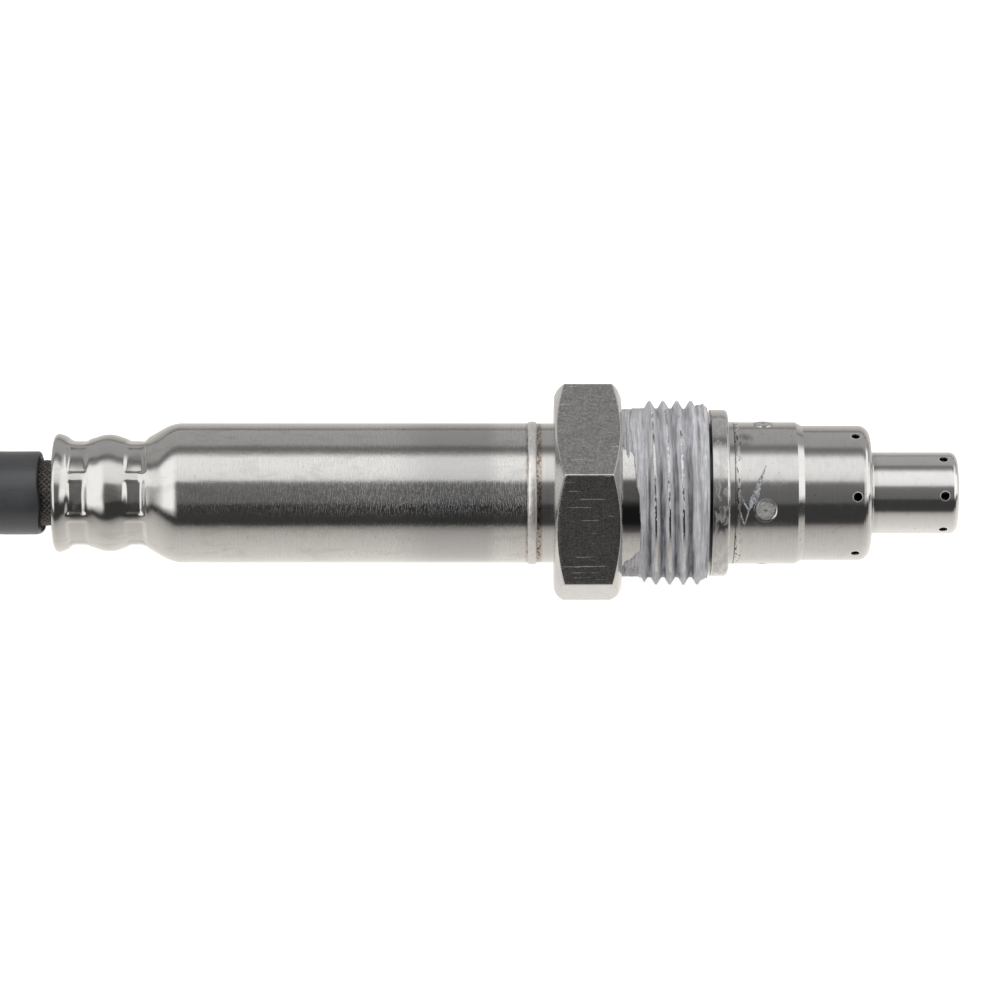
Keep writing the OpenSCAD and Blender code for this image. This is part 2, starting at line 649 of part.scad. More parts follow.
// Outline of a loop that leaves the tie towards +X, on one side of the cord's middle
function loop_outline(side, start) = concat(
    arc([0, loop_r + run_half], loop_r - side, -90 + start, -90 + 90 - loop_part, 6),
    arc([loop_shift, 0], loop_r + side, 180 - loop_part, -180 + loop_part, 24),
    arc([0, -loop_r - run_half], loop_r - side, loop_part, 90 - start, 6));
module loop(height) translate([0, 0, floor_z]) linear_extrude(height) difference() {
    polygon(loop_outline(lead_r, 0));
    polygon(loop_outline(-lead_r, 12));
}
module lead_hank() color("dimgray") {
    translate([hank_near_x, 0, 0]) loop(near_loop_top - floor_z);
    bar(hank_far_x, hank_near_x) bundle(0);
    translate([hank_far_x, 0, 0]) mirror([1, 0, 0]) loop(far_loop_top - floor_z);
}
module hank_tie() color("black") {
    middle = (hank_near_x + hank_far_x) / 2;
    top_z = high_run_z + lead_r + fit + tie_t;
    bar(middle - tie_w / 2, middle + tie_w / 2) difference() {
        bundle(fit + tie_t);
        bundle(fit);
    }
    translate([middle - tie_head[0] / 2, -tie_head[1] / 2, top_z - tie_t / 2]) cube(tie_head);
}

// Rubber boot with rings that let it bend, and a plain end on the connector
module plug_boot() color("black") translate([0, 0, plug_z]) {
    step = boot_l * 0.7 / boot_rings;
    turned(concat([[boot_x, 0]],
        [for (k = [0 : boot_rings - 1]) each [[boot_x - k * step, boot_r - ring_depth],
            [boot_x - (k + 0.25) * step, boot_r], [boot_x - (k + 0.75) * step, boot_r],
            [boot_x - (k + 1) * step, boot_r - ring_depth]]],
        [[boot_x - (boot_rings + 0.25) * step, boot_r], [plug_rear_x, boot_r], [plug_rear_x, 0]]));
}

// Spring arm with a hooked end over the tower, a post in the middle and a ribbed thumb pad
module latch() translate([tower_x, 0, plug_h / 2]) {
    arm_z = latch_rise - latch_t;
    arm_l = tower_l / 2 + plug_l * 7 / 8;
    translate([plug_l * 0.4, -latch_w / 2, -latch_t])
        cube([plug_l / 6, latch_w, latch_rise + latch_t]);
    translate([-tower_l / 2, -latch_w / 2, arm_z]) cube([arm_l, latch_w, latch_t]);
    translate([-tower_l / 2, -latch_w / 2, arm_z - latch_t]) cube([latch_t, latch_w, 2 * latch_t]);
    for (k = [0 : 2])
        translate([plug_l * 7 / 8 - (2 * k + 1) * latch_t, -latch_w / 2, latch_rise - latch_t / 4])
        cube([latch_t, latch_w, latch_t / 2]);
}
module plug_body() color("darkslategray") translate([0, 0, plug_z]) difference() {
    union() {
        bar(tower_x, plug_rear_x) rounded(plug_w, plug_h, plug_round);
        bar(tower_x - tower_l, tower_x + over) rounded(tower_w, tower_h, tower_round);
        for (y = [-latch_w, latch_w])
            translate([tower_x + plug_l / 8, y - rail_w / 2, plug_h / 2 - rail_w / 2])
            cube([plug_l * 3 / 4, rail_w, rail_w / 2 + latch_rise]);
        latch();
    }
    for (spot = contact_spots) translate([0, spot.x, spot.y])
        rod(tower_x - tower_l - over, tower_x, contact_d / 2 + fit, hole_fn);
}
module plug_contacts() color("gold") translate([0, 0, plug_z])
    for (spot = contact_spots) translate([0, spot.x, spot.y]) difference() {
        rod(tower_x - tower_l + over, tower_x - fit, contact_d / 2, hole_fn);
        rod(tower_x - tower_l, tower_x - over, contact_d / 3, hole_fn);
    }
module plug_seal() color("firebrick") translate([0, 0, plug_z])
    bar(tower_x - seal_l - fit, tower_x - fit) difference() {
        rounded(tower_w + 2 * seal_t, tower_h + 2 * seal_t, tower_round + seal_t);
        rounded(tower_w + 2 * fit, tower_h + 2 * fit, tower_round + fit);
    }

union_nut();
housing();
rear_sleeve();
protective_cap();
inner_cover_tube();
inner_cover_cup();
sensor_element();
inner_cylinder();
front_support();
middle_support();
rear_support();
front_talc();
rear_talc();
press_ring();
upper_contact_block();
lower_contact_block();
clip_ring();
contact_terminals();
lead_wires();
grommet();
braid_sleeve();
lead();
lead_hank();
lead_tail();
hank_tie();
plug_boot();
plug_body();
plug_seal();
plug_contacts();
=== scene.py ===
import math

import bpy
import numpy as np
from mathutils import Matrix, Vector


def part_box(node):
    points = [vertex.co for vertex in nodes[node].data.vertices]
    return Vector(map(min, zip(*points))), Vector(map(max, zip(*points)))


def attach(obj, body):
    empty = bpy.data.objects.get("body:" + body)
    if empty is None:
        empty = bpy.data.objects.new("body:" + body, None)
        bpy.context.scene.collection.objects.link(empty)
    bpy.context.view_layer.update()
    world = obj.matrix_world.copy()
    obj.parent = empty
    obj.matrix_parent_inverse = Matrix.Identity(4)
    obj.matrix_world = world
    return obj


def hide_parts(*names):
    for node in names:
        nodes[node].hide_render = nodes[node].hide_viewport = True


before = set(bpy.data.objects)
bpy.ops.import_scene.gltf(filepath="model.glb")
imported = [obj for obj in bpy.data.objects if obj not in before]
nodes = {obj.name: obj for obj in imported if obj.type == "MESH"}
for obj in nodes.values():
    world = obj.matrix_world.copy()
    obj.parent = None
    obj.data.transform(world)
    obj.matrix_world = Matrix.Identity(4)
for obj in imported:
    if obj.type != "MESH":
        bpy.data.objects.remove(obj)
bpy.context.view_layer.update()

MM = 0.001
PI = math.pi
TURN = 2 * PI

# View of the photograph; lengths are in millimetres here and below
VIEW_TILT = math.radians(51.5)
VIEW_MIDDLE_X = -19.5
VIEW_DROP = 0.24
VIEW_DISTANCE = 505.0
LENS = 168.0
SENSOR = 36.0


def ends(node):
    """The lowest and highest X of a node, in millimetres."""
    low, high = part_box(node)
    return low[0] / MM, high[0] / MM


# Probe, along its axis; turns about the axis count in degrees from the -Y side over the top
FLOOR_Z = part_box("union_nut")[0][2] / MM
NUT_REAR, NUT_FRONT = ends("union_nut")
SLEEVE_REAR = ends("rear_sleeve")[0]
CAP_REAR = ends("protective_cap")[0]
COLLAR_REAR = 3.9
COLLAR_FRONT = 5.82
JOINT_X = -15.7
TUBE_R = 7.61
CAP_R = 7.72
THREAD_R = 10.0
THREAD_DEPTH = 0.92
PITCH = 1.5
CREST_X = 0.93
THREAD_REAR = -3.6
RELIEF_R = 9.05
NOSE_BEVEL = 0.7
NOSE_R = THREAD_R - NOSE_BEVEL - 0.35
HEX_FRONT = -5.8
HEX_APOTHEM = 11.0
HEX_BEVEL = 0.45
HEX_SLOPE = math.tan(math.radians(26))
BORE_R = 7.66
BORE_BEVEL = 0.4
MOUTH_R = BORE_R + BORE_BEVEL
STAKE_X = CAP_REAR + 3.3
STAKE_TURN = 37
STAKES = 4
HOLES = 6
BODY_HOLE_X, BODY_HOLE_TURN = 19.61, 48
TIP_HOLE_X, TIP_HOLE_TURN = 29.3, 47
BODY_R = 7.34
TIP_R = 4.43
TIP_REAR = CAP_REAR + 15.6
LEAD_D = 9.1
LEAD_R = LEAD_D / 2
LEAD_FRONT = ends("lead")[1]


def image_plane(offset):
    """Up in the picture, as a vector in the row frame, times offset."""
    return Vector((0, math.sin(VIEW_TILT), math.cos(VIEW_TILT))) * offset


def place_camera():
    target = Vector((VIEW_MIDDLE_X * MM, 0, 0)) - image_plane(VIEW_DROP * MM)
    back = Vector((0, -math.cos(VIEW_TILT), math.sin(VIEW_TILT)))
    data = bpy.data.cameras.new("view")
    data.lens = LENS
    data.sensor_width = SENSOR
    data.clip_start = 0.01
    data.clip_end = 50
    camera = bpy.data.objects.new("view", data)
    camera.location = target + back * VIEW_DISTANCE * MM
    camera.rotation_euler = (-back).to_track_quat("-Z", "Y").to_euler()
    bpy.context.scene.collection.objects.link(camera)
    bpy.context.scene.camera = camera


# The lead's hank: two loops held at a tie, worked out from arcs

HANK_NEAR_X = -174.0
HANK_FAR_X = -184.0
LOOP_R = 29.0
RUN_HALF = 4.6
LOW_RUN_Z = -5.4
HIGH_RUN_Z = 2.4
LYING_Z = FLOOR_Z + LEAD_R
CROSSING_Z = 2.75
LOOP_SHIFT = math.sqrt((2 * LOOP_R) ** 2 - (LOOP_R + RUN_HALF) ** 2)
LOOP_PART = math.acos(LOOP_SHIFT / (2 * LOOP_R))
TOP_SHIFT = math.sqrt((2 * LOOP_R) ** 2 - LOOP_R ** 2)
TOP_PART = math.acos(TOP_SHIFT / (2 * LOOP_R))
ROUTE_IN = [(-74, 0, 0), (-80, 0, 0.5), (-86, 0, 1.5), (-92, 0, 2.5), (-98, 0, 2.8), (-104, 0, 2.5),
    (-115, 0, 1.5), (-128, 0, 0.5), (-142, 0, 0.2), (-155, 0, 1), (-166, 0, 2), (-174, 0, 2.4)]
ROUTE_OUT = [(-264, 0, -6.4), (-268, 0, -6.2), (-272, 0, -5.8), (-276, 0, -5.5)]


def arc(cx, cy, radius, start, end, count):
    """Points along an arc, in millimetres, as an array of x and y."""
    a = np.linspace(start, end, count)
    return np.stack([cx + radius * np.cos(a), cy + radius * np.sin(a)], 1)


def eased(t):
    """A smooth step from 0 to 1 with level ends: half of one minus the cosine of a half turn."""
    return (1 - np.cos(PI * np.clip(t, 0, 1))) / 2


def lengths(path):
    """How far along a path each of its points is."""
    return np.concatenate([[0], np.cumsum(np.linalg.norm(np.diff(path, axis=0), axis=1))])


def with_heights(flat, stops):
    """Gives each point of a flat path a height, eased between stops of (share of the length, height)."""
    s = lengths(flat)
    s = s / s[-1]
    z = np.full(len(s), float(stops[0][1]))
    for (s0, z0), (s1, z1) in zip(stops[:-1], stops[1:]):
        inside = s >= s0
        z[inside] = z0 + (z1 - z0) * eased((s[inside] - s0) / (s1 - s0))
    return np.column_stack([flat, z])


def far_loop():
    """From the upper run at the tie, out to +Y, round and back to the lower run on the -Y side."""
    middle = HANK_FAR_X - LOOP_SHIFT
    leave = middle + TOP_SHIFT
    flat = np.concatenate([
        arc(leave, LOOP_R, LOOP_R, -PI / 2, -PI / 2 - (PI / 2 - TOP_PART), 10)[:-1],
        arc(middle, 0, LOOP_R, TOP_PART, TURN - LOOP_PART, 52)[:-1],
        arc(HANK_FAR_X, -LOOP_R - RUN_HALF, LOOP_R, PI - LOOP_PART, PI / 2, 12)])
    return with_heights(flat, [(0, HIGH_RUN_Z), (0.12, HIGH_RUN_Z + 0.3), (0.3, LYING_Z + 1.6),
        (0.49, CROSSING_Z), (0.68, LYING_Z), (0.9, LYING_Z), (1, LOW_RUN_Z)])


def near_loop():
    """From the lower run on the -Y side, round under the lead, back to the lower run on the +Y side."""
    middle = HANK_NEAR_X + LOOP_SHIFT
    turn = PI - LOOP_PART
    flat = np.concatenate([
        arc(HANK_NEAR_X, -LOOP_R - RUN_HALF, LOOP_R, PI / 2, LOOP_PART, 12)[:-1],
        arc(middle, 0, LOOP_R, -turn, turn, 52)[:-1],
        arc(HANK_NEAR_X, LOOP_R + RUN_HALF, LOOP_R, -LOOP_PART, -PI / 2, 12)])
    return with_heights(flat, [(0, LOW_RUN_Z), (0.1, LYING_Z), (0.9, LYING_Z), (1, LOW_RUN_Z)])


def last_run():
    """The lower run that goes on under the far loop to the tail."""
    x = np.linspace(HANK_FAR_X, ROUTE_OUT[0][0], 14)[1:-1]
    t = (x - HANK_FAR_X) / (ROUTE_OUT[0][0] - HANK_FAR_X)
    y = RUN_HALF * (1 - eased(t))
    z = LOW_RUN_Z + (LYING_Z - LOW_RUN_Z) * eased(t * 5)
    return np.column_stack([x, y, z])


def lead_path():
    return np.concatenate([
        [[LEAD_FRONT, 0, 0]], ROUTE_IN, far_loop(), near_loop(), last_run(), ROUTE_OUT])


def evenly(path, step):
    """The same path as a smooth line through its points, at even steps."""
    s = lengths(path)
    ahead = np.gradient(path, s, axis=0)
    t = np.linspace(0, s[-1], int(s[-1] / step) + 1)
    k = np.clip(np.searchsorted(s, t, side="right") - 1, 0, len(s) - 2)
    h = (s[k + 1] - s[k])[:, None]
    u = ((t - s[k])[:, None]) / h
    return ((2 * u**3 - 3 * u**2 + 1) * path[k] + (u**3 - 2 * u**2 + u) * h * ahead[k]
        + (3 * u**2 - 2 * u**3) * path[k + 1] + (u**3 - u**2) * h * ahead[k + 1])


# Surfaces worked out as whole arrays

FIELD_ROWS = 97


def rough_field(u, v, seed, cells):
    """Smooth noise from -1 to 1: a random value at each whole u and v, eased in between. Along v it repeats
    after this many cells, so that it closes round the axis."""
    table = np.random.default_rng(seed).uniform(-1, 1, (FIELD_ROWS, cells))
    i, j = np.floor(u).astype(int), np.floor(v).astype(int)
    s, t = eased(u - i), eased(v - j)
    i, i2, j, j2 = i % FIELD_ROWS, (i + 1) % FIELD_ROWS, j % cells, (j + 1) % cells
    low = table[i, j] * (1 - s) + table[i2, j] * s
    high = table[i, j2] * (1 - s) + table[i2, j2] * s
    return low * (1 - t) + high * t


def round_angles(count):
    """Angles evenly round the circle, from 0."""
    return np.linspace(0, TURN, count, endpoint=False)


def rise(value, low, high):
    """How far a value has gone from low to high, eased, between 0 and 1."""
    return eased((value - low) / (high - low))


def stretch(value, low, full, falls, high):
    """1 between full and falls, eased down to 0 at low and at high."""
    return rise(value, low, full) * (1 - rise(value, falls, high))


def grid_mesh(name, points, closed=False, sharp=35, marks=None):
    """A mesh from a grid of points in millimetres whose rows are rings, turned to face outwards. Where it is
    closed, the last ring joins the first; otherwise a flat face closes each end. marks holds a value for each
    point under each name, for the materials to read."""
    rows, columns = points.shape[:2]
    i = np.arange(rows if closed else rows - 1)[:, None]
    j = np.arange(columns)[None, :]
    i2, j2 = (i + 1) % rows, (j + 1) % columns
    corners = [i * columns + j, i2 * columns + j, i2 * columns + j2, i * columns + j2]
    quads = np.stack(corners, -1).reshape(-1, 4)
    faces = quads.tolist()
    if not closed:
        faces.append(list(range(columns)))
        faces.append(list(range(rows * columns - 1, (rows - 1) * columns - 1, -1)))
    flat = points.reshape(-1, 3) * MM
    a, b, c = (flat[quads[:, k]] for k in range(3))
    volume = np.einsum("ij,ij->i", a, np.cross(b, c)).sum()
    if volume < 0:
        faces = [face[::-1] for face in faces]
    mesh = bpy.data.meshes.new(name)
    mesh.from_pydata(flat.tolist(), [], faces)
    mesh.polygons.foreach_set("use_smooth", np.ones(len(faces), bool))
    mesh.set_sharp_from_angle(angle=math.radians(sharp))
    for mark, values in (marks or {}).items():
        layer = mesh.attributes.new(mark, "FLOAT", "POINT")
        layer.data.foreach_set("value", np.ascontiguousarray(values, np.float32).ravel())
    mesh.update()
    piece = bpy.data.objects.new(name, mesh)
    bpy.context.scene.collection.objects.link(piece)
    return piece


def around(x, r, turn):
    """Points on a round surface: X, and as Y and Z the radius times minus the cosine and the sine of the
    turn, which is in degrees."""
    a = np.radians(turn)
    x, r, a = np.broadcast_arrays(x, r, a)
    return np.stack([x, -r * np.cos(a), r * np.sin(a)], -1)


def swept(path, radius, sides):
    """Rings of a tube: at each point of the path, a circle square to it, kept level by the upright."""
    ahead = np.gradient(path, axis=0)
    ahead /= np.linalg.norm(ahead, axis=1)[:, None]
    across = np.cross([0, 0, 1], ahead)
    across /= np.linalg.norm(across, axis=1)[:, None]
    up = np.cross(ahead, across)
    a = round_angles(sides)
    radius = np.broadcast_to(radius, len(path))[:, None, None]
    return (path[:, None] + radius * (np.cos(a)[None, :, None] * across[:, None]
        + np.sin(a)[None, :, None] * up[:, None]))


def rings(stops, turn):
    """A line of (x, radius) stops at each turn, as one array; a stop may change with the turn."""
    return np.stack([np.stack(np.broadcast_arrays(x, r, turn)[:2], -1) for x, r in stops])


def signed(turn):
    """Degrees brought to the stretch from -180 to 180."""
    return (turn + 180) % 360 - 180


# Union nut: one closed surface, from the bore over the hexagon and the thread and back in at the nose

CORNER_ROUND = 0.25
EDGE = 0.07
LONGEST_FACE = 0.35
STEPS_PER_PITCH = 30
CREST_HALF = 0.1
FLANK_RUN = 0.55
WINDOW_LOW = [(-5.8, -11.0), (-5.7, -10.0), (-4.9, -1.0), (-3.75, 12.0), (-3.6, 13.0)]
WINDOW_TOP = 84.0
DRIPS = [(-5.15, 0.2, 9.0), (-4.75, 0.1, 4.0), (-5.55, 0.12, 3.0)]
RING_EDGE = [(-40, -3.75), (12, -3.75), (30, -3.85), (48, -4.0), (58, -4.3), (83, -4.65), (105, -4.95),
    (150, -4.4)]
RING_FRONT = -3.2
GROOVE_FILL, RING_FILL, RELIEF_FILL = 9.22, 9.25, RELIEF_R + 0.09
NOSE_FROM, NOSE_FULL = 2.0, 2.6
# Where the painted shade beside the collar starts on the nose, and where it is full
NOSE_GAP_SHADE_FROM, NOSE_GAP_SHADE_FULL = 3.56, 3.62


def nut_turns():
    """Turns of the nut's columns: even steps on each flat, and closer ones at the corners, which are at whole
    sixths of a turn."""
    near = np.linspace(0, 0.6, 5)
    sector = np.concatenate([near[:-1], np.linspace(0.6, 59.4, 56), 60 - near[-2:0:-1]])
    return (sector[None, :] + 60 * np.arange(6)[:, None]).ravel()


def hexagon(turn):
    """Radius of the hexagon: half its width over the cosine from the flat's middle, or, close to a corner,
    the far crossing with a small circle that touches both flats."""
    from_corner = np.radians(np.abs((turn + 30) % 60 - 30))
    middle = (HEX_APOTHEM - CORNER_ROUND) / math.cos(PI / 6)
    touch = math.atan2(CORNER_ROUND / 2, middle + CORNER_ROUND * math.cos(PI / 6))
    flat = HEX_APOTHEM / np.cos(PI / 6 - from_corner)
    half_chord = np.sqrt(np.maximum(CORNER_ROUND**2 - (middle * np.sin(from_corner))**2, 0))
    return np.where(from_corner < touch, middle * np.cos(from_corner) + half_chord, flat)


def softened(line, reach):
    """A line whose inner corners become three points: one on each side at the reach, and between them half
    the corner and a quarter of each."""
    corner = line[1:-1]
    back, on = line[:-2] - corner, line[2:] - corner
    back_l = np.linalg.norm(back, axis=-1, keepdims=True)
    on_l = np.linalg.norm(on, axis=-1, keepdims=True)
    step = np.minimum(reach, 0.4 * np.minimum(back_l, on_l))
    a, b = corner + back / back_l * step, corner + on / on_l * step
    inner = np.stack([a, (a + 2 * corner + b) / 4, b], 1)
    return np.concatenate([line[:1], inner.reshape(-1, *line.shape[1:]), line[-1:]])


def filled(line, longest):
    """The same line with points added evenly on each stretch whose mean length is over the longest."""
    span = np.linalg.norm(np.diff(line, axis=0), axis=-1)
    span = span.reshape(len(span), -1).mean(1)
    counts = np.maximum(np.ceil(span / longest).astype(int), 1)
    pieces = [line[k] + (line[k + 1] - line[k]) * (np.arange(n) / n).reshape(-1, *[1] * (line.ndim - 1))
        for k, n in enumerate(counts)]
    return np.concatenate(pieces + [line[-1:]])


def blank_line(turn):
    """The nut from the bore over the hexagon to the relief, as x and radius for each turn. The end bevels are
    cones, so where they leave the flats depends on the hexagon's radius."""
    outline = hexagon(turn)
    face_r = HEX_APOTHEM - HEX_BEVEL
    bevel = (outline - face_r) * HEX_SLOPE
    rear = [(NUT_REAR + BORE_BEVEL, BORE_R), (NUT_REAR, MOUTH_R), (NUT_REAR, face_r)]
    hexagonal = [(NUT_REAR + bevel, outline), (HEX_FRONT - bevel, outline)]
    front = [(HEX_FRONT, face_r), (HEX_FRONT, RELIEF_R + 0.1)]
    line = rings(rear + hexagonal + front, turn)
    return filled(softened(line, EDGE), LONGEST_FACE)


def thread_rows(turn):
    """X of the rows over relief and thread. On the thread each row keeps to the helix in steps of a
    thirtieth of the pitch, so that the edges of the crests fall on rows."""
    step = PITCH / STEPS_PER_PITCH
    relief = np.arange(HEX_FRONT + 0.06, THREAD_REAR - 0.04, 0.1)[:, None] + 0 * turn
    crest = CREST_X - PITCH * turn / 360
    rows = np.arange(THREAD_REAR, NUT_FRONT - NOSE_BEVEL, step)[:, None]
    thread = crest + step * np.round((rows - crest) / step)
    nose = np.linspace(NUT_FRONT - NOSE_BEVEL + 0.05, NUT_FRONT, 7)[:, None] + 0 * turn
    return np.concatenate([relief, thread, nose])


def thread_radius(x, turn):
    """Bare metal of relief and thread: the crest's radius less a flank that falls with the distance from the
    helix, cut by the slope out of the relief and by the bevel at the nose."""
    crest = CREST_X - PITCH * turn / 360
    away = np.abs((x - crest + PITCH / 2) % PITCH - PITCH / 2)
    r = THREAD_R - THREAD_DEPTH * np.clip((away - CREST_HALF) / FLANK_RUN, 0, 1)
    r = np.minimum(r, RELIEF_R + (THREAD_R - RELIEF_R) * np.clip((x - THREAD_REAR) / FLANK_RUN, 0, 1))
    return np.minimum(r, THREAD_R - np.clip(x - NUT_FRONT + NOSE_BEVEL, 0, None))


def coated(x, turn, metal):
    """Radius with the paste on it, and the marks for the material: how far paste covers, how deep it lies in
    a groove, which sets the painted shade there, the brown smear, and the relief's dark band of painted
    shade.
    Paste fills the grooves in streaks that run round, lies as a smooth ring at the thread's rear end and over
    the nose, leaves the crests bare in places, and is wiped off a window of the relief, whose upper edge has
    drips, each a bell curve."""
    side = signed(turn) + 0 * x
    streak = rough_field(x * 9, turn / 15, 3, 24)
    lump = rough_field(x * 2.6 + 40, turn / 6, 4, 60)
    fine = rough_field(x * 6 + 11, turn / 2.5, 5, 144)
    level = GROOVE_FILL + 0.045 * lump + 0.035 * streak + 0.015 * fine
    level = level + (0.38 + 0.05 * lump) * rise(x, NOSE_FROM, NOSE_FULL) - 0.45 * rise(x, 3.05, 3.65)
    edge = np.interp(side, *zip(*RING_EDGE)) + 0.05 * lump
    ring = rise(x, edge - 0.08, edge + 0.08) * (1 - rise(x, RING_FRONT, RING_FRONT + 0.25))
    level = level * (1 - ring) + (RING_FILL + 0.03 * lump + 0.02 * streak) * ring
    lower = np.interp(x, *zip(*WINDOW_LOW)) + 4 * lump
    upper = WINDOW_TOP + 3 * rough_field(x * 1.5 + 7, turn / 30, 6, 12)
    for place, width, length in DRIPS:
        upper = upper - length * np.exp(-((x - place) / width)**2)
    window = stretch(side, lower - 0.7, lower + 0.7, upper - 0.7, upper + 0.7) * (1 - ring)
    behind = (x < THREAD_REAR) * (1 - ring)
    level = np.where(behind > 0.5, RELIEF_FILL + 0.05 * streak + 0.03 * fine, level)
    worn = stretch(side, -10, -4, 38, 44) + 0.6 * stretch(side, 40, 50, 80, 88) + 0.25
    worn = rise(worn + 0.7 * fine + 0.5 * streak, 0.45, 0.75)
    crest = rise(metal, THREAD_R - 0.05, THREAD_R - 0.02) * worn
    crest = crest * (1 - rise(x, 1.6, 2.2)) * rise(side, -16, -8)
    bare = np.maximum(crest, window * (x < THREAD_REAR))
    thin = 0.03 + 0.015 * fine + 0.025 * lump
    r = np.maximum(metal + thin * (1 - bare), np.where(bare > 0.5, metal, level))
    # Painted shade: the paste darkens towards the middle of each groove, less on the upper side.
    phase = (x - CREST_X + PITCH * turn / 360) % PITCH - PITCH / 2
    depth = np.exp(-(phase / 0.34)**2) * stretch(x, RING_FRONT, RING_FRONT + 0.3, 2.5, 2.9)
    depth = depth * (1 - 0.5 * rise(side, 50, 95))
    brown = stretch(side, -34, -29, -12, -7) * (x < -3.9) * (0.6 + 0.4 * streak)
    # Painted shade: a band of turns on the relief's bare metal, darkened almost to black in the finish.
    shade = (0.35 * rise(side, 26, 30) + 0.45 * stretch(side, 26, 31, 43, 48)) * (1 - rise(side, 58, 62))
    return r, 1 - bare, depth, brown, shade * (x < THREAD_REAR)


def nut_surface():
    """The nut's lines over the hexagon, the thread and the nose, carried round the axis."""
    turn = nut_turns()
    blank = blank_line(turn)
    x = thread_rows(turn)
    metal = thread_radius(x, turn)
    r, paste, depth, brown, shade = coated(x, turn, metal)
    nose = rings([(NUT_FRONT, NOSE_R), (NUT_FRONT, MOUTH_R), (NUT_FRONT - BORE_BEVEL, BORE_R)], turn)
    xs = np.concatenate([blank[..., 0], x, nose[..., 0]])
    rs = np.concatenate([blank[..., 1], r, nose[..., 1]])
    before, after = np.zeros(blank.shape[:2]), np.zeros(nose.shape[:2])
    front = rise(xs[:len(blank)], HEX_FRONT - 0.9, HEX_FRONT)
    # Painted shade beside the collar: near-black from the nose's front end over its face and bore
    nose_gap_shade = 0 * x + rise(x, NOSE_GAP_SHADE_FROM, NOSE_GAP_SHADE_FULL)
    marks = {"paste": (before, paste, after + 0.4), "groove": (before, depth, after),
        "brown": (before, brown, after), "shade": (before, shade, after), "nose_gap_shade": (before, nose_gap_shade, after + 1),
        "front": (front, 0 * x, after)}
    marks = {name: np.concatenate(parts) for name, parts in marks.items()}
    return grid_mesh("union_nut_turned", around(xs, rs, turn[None, :]), closed=True, sharp=40, marks=marks)


# Rear sleeve: outside from the weld bead to the rim, and back along the inside

SLEEVE_WALL = 0.5
BEAD_X, BEAD_HALF, BEAD_H = JOINT_X + 0.24, 0.5, 0.16
SHOULDER_X = SLEEVE_REAR + 13.25
FRONT_CRIMP, REAR_CRIMP = SLEEVE_REAR + 9.05, SLEEVE_REAR + 2.75
WAIST_HALF = 0.3
RIDGE_R = 5.8
RIM_R, RIM_ROUND = 6.45, 0.45
SLEEVE_LEVELS = [(SLEEVE_REAR + RIM_ROUND, RIM_R), (REAR_CRIMP - WAIST_HALF, RIDGE_R),
    (REAR_CRIMP + WAIST_HALF, RIDGE_R), (SLEEVE_REAR + 6, 6.38), (FRONT_CRIMP - WAIST_HALF, RIDGE_R),
    (FRONT_CRIMP + WAIST_HALF, RIDGE_R)]
RAMP_REAR, RAMP_FRONT, RAMP_BEND = FRONT_CRIMP + WAIST_HALF, SHOULDER_X + 0.7, 0.82
JAWS, JAW_TURN, JAW_APOTHEM, JAW_CURVE = 8, 46, 5.63, 0.35
JAW_FULL, JAW_END = 15.0, 20.0
JAW_HALF, JAW_FADE = 0.55, 1.3


def eased_levels(x, levels):
    """Level at each x, eased from one stop to the next; the stops run towards +X."""
    y = np.full(np.shape(x), float(levels[0][1]))
    for (x0, y0), (x1, y1) in zip(levels[:-1], levels[1:]):
        y = np.where(x >= x0, y0 + (y1 - y0) * eased((x - x0) / (x1 - x0)), y)
    return y


def crimped(x, turn):
    """Radius of the sleeve: its eased levels and the shoulder's ramp, which is rounder at its tube end,
    pressed in towards the jaws' faces. A face is a little less than flat, full to either side of its middle
    and gone a little further out."""
    ramp = np.clip((x - RAMP_REAR) / (RAMP_FRONT - RAMP_REAR), 0, 1)**RAMP_BEND
    r = eased_levels(x, SLEEVE_LEVELS) + (TUBE_R - RIDGE_R) * eased(ramp)
    off = np.abs((turn - JAW_TURN + 180 / JAWS) % (360 / JAWS) - 180 / JAWS)
    face = JAW_APOTHEM + (JAW_APOTHEM / np.cos(np.radians(off)) - JAW_APOTHEM) * JAW_CURVE
    along = np.minimum(np.abs(x - FRONT_CRIMP), np.abs(x - REAR_CRIMP))
    pressed = (1 - rise(off, JAW_FULL, JAW_END)) * (1 - rise(along, JAW_HALF, JAW_FADE))
    dent = 0.015 * rough_field(x * 1.3, turn / 12, 8, 30)
    return r - pressed * np.maximum(r - face, 0) + dent * rise(-x, -SHOULDER_X - 2, -SHOULDER_X + 3)


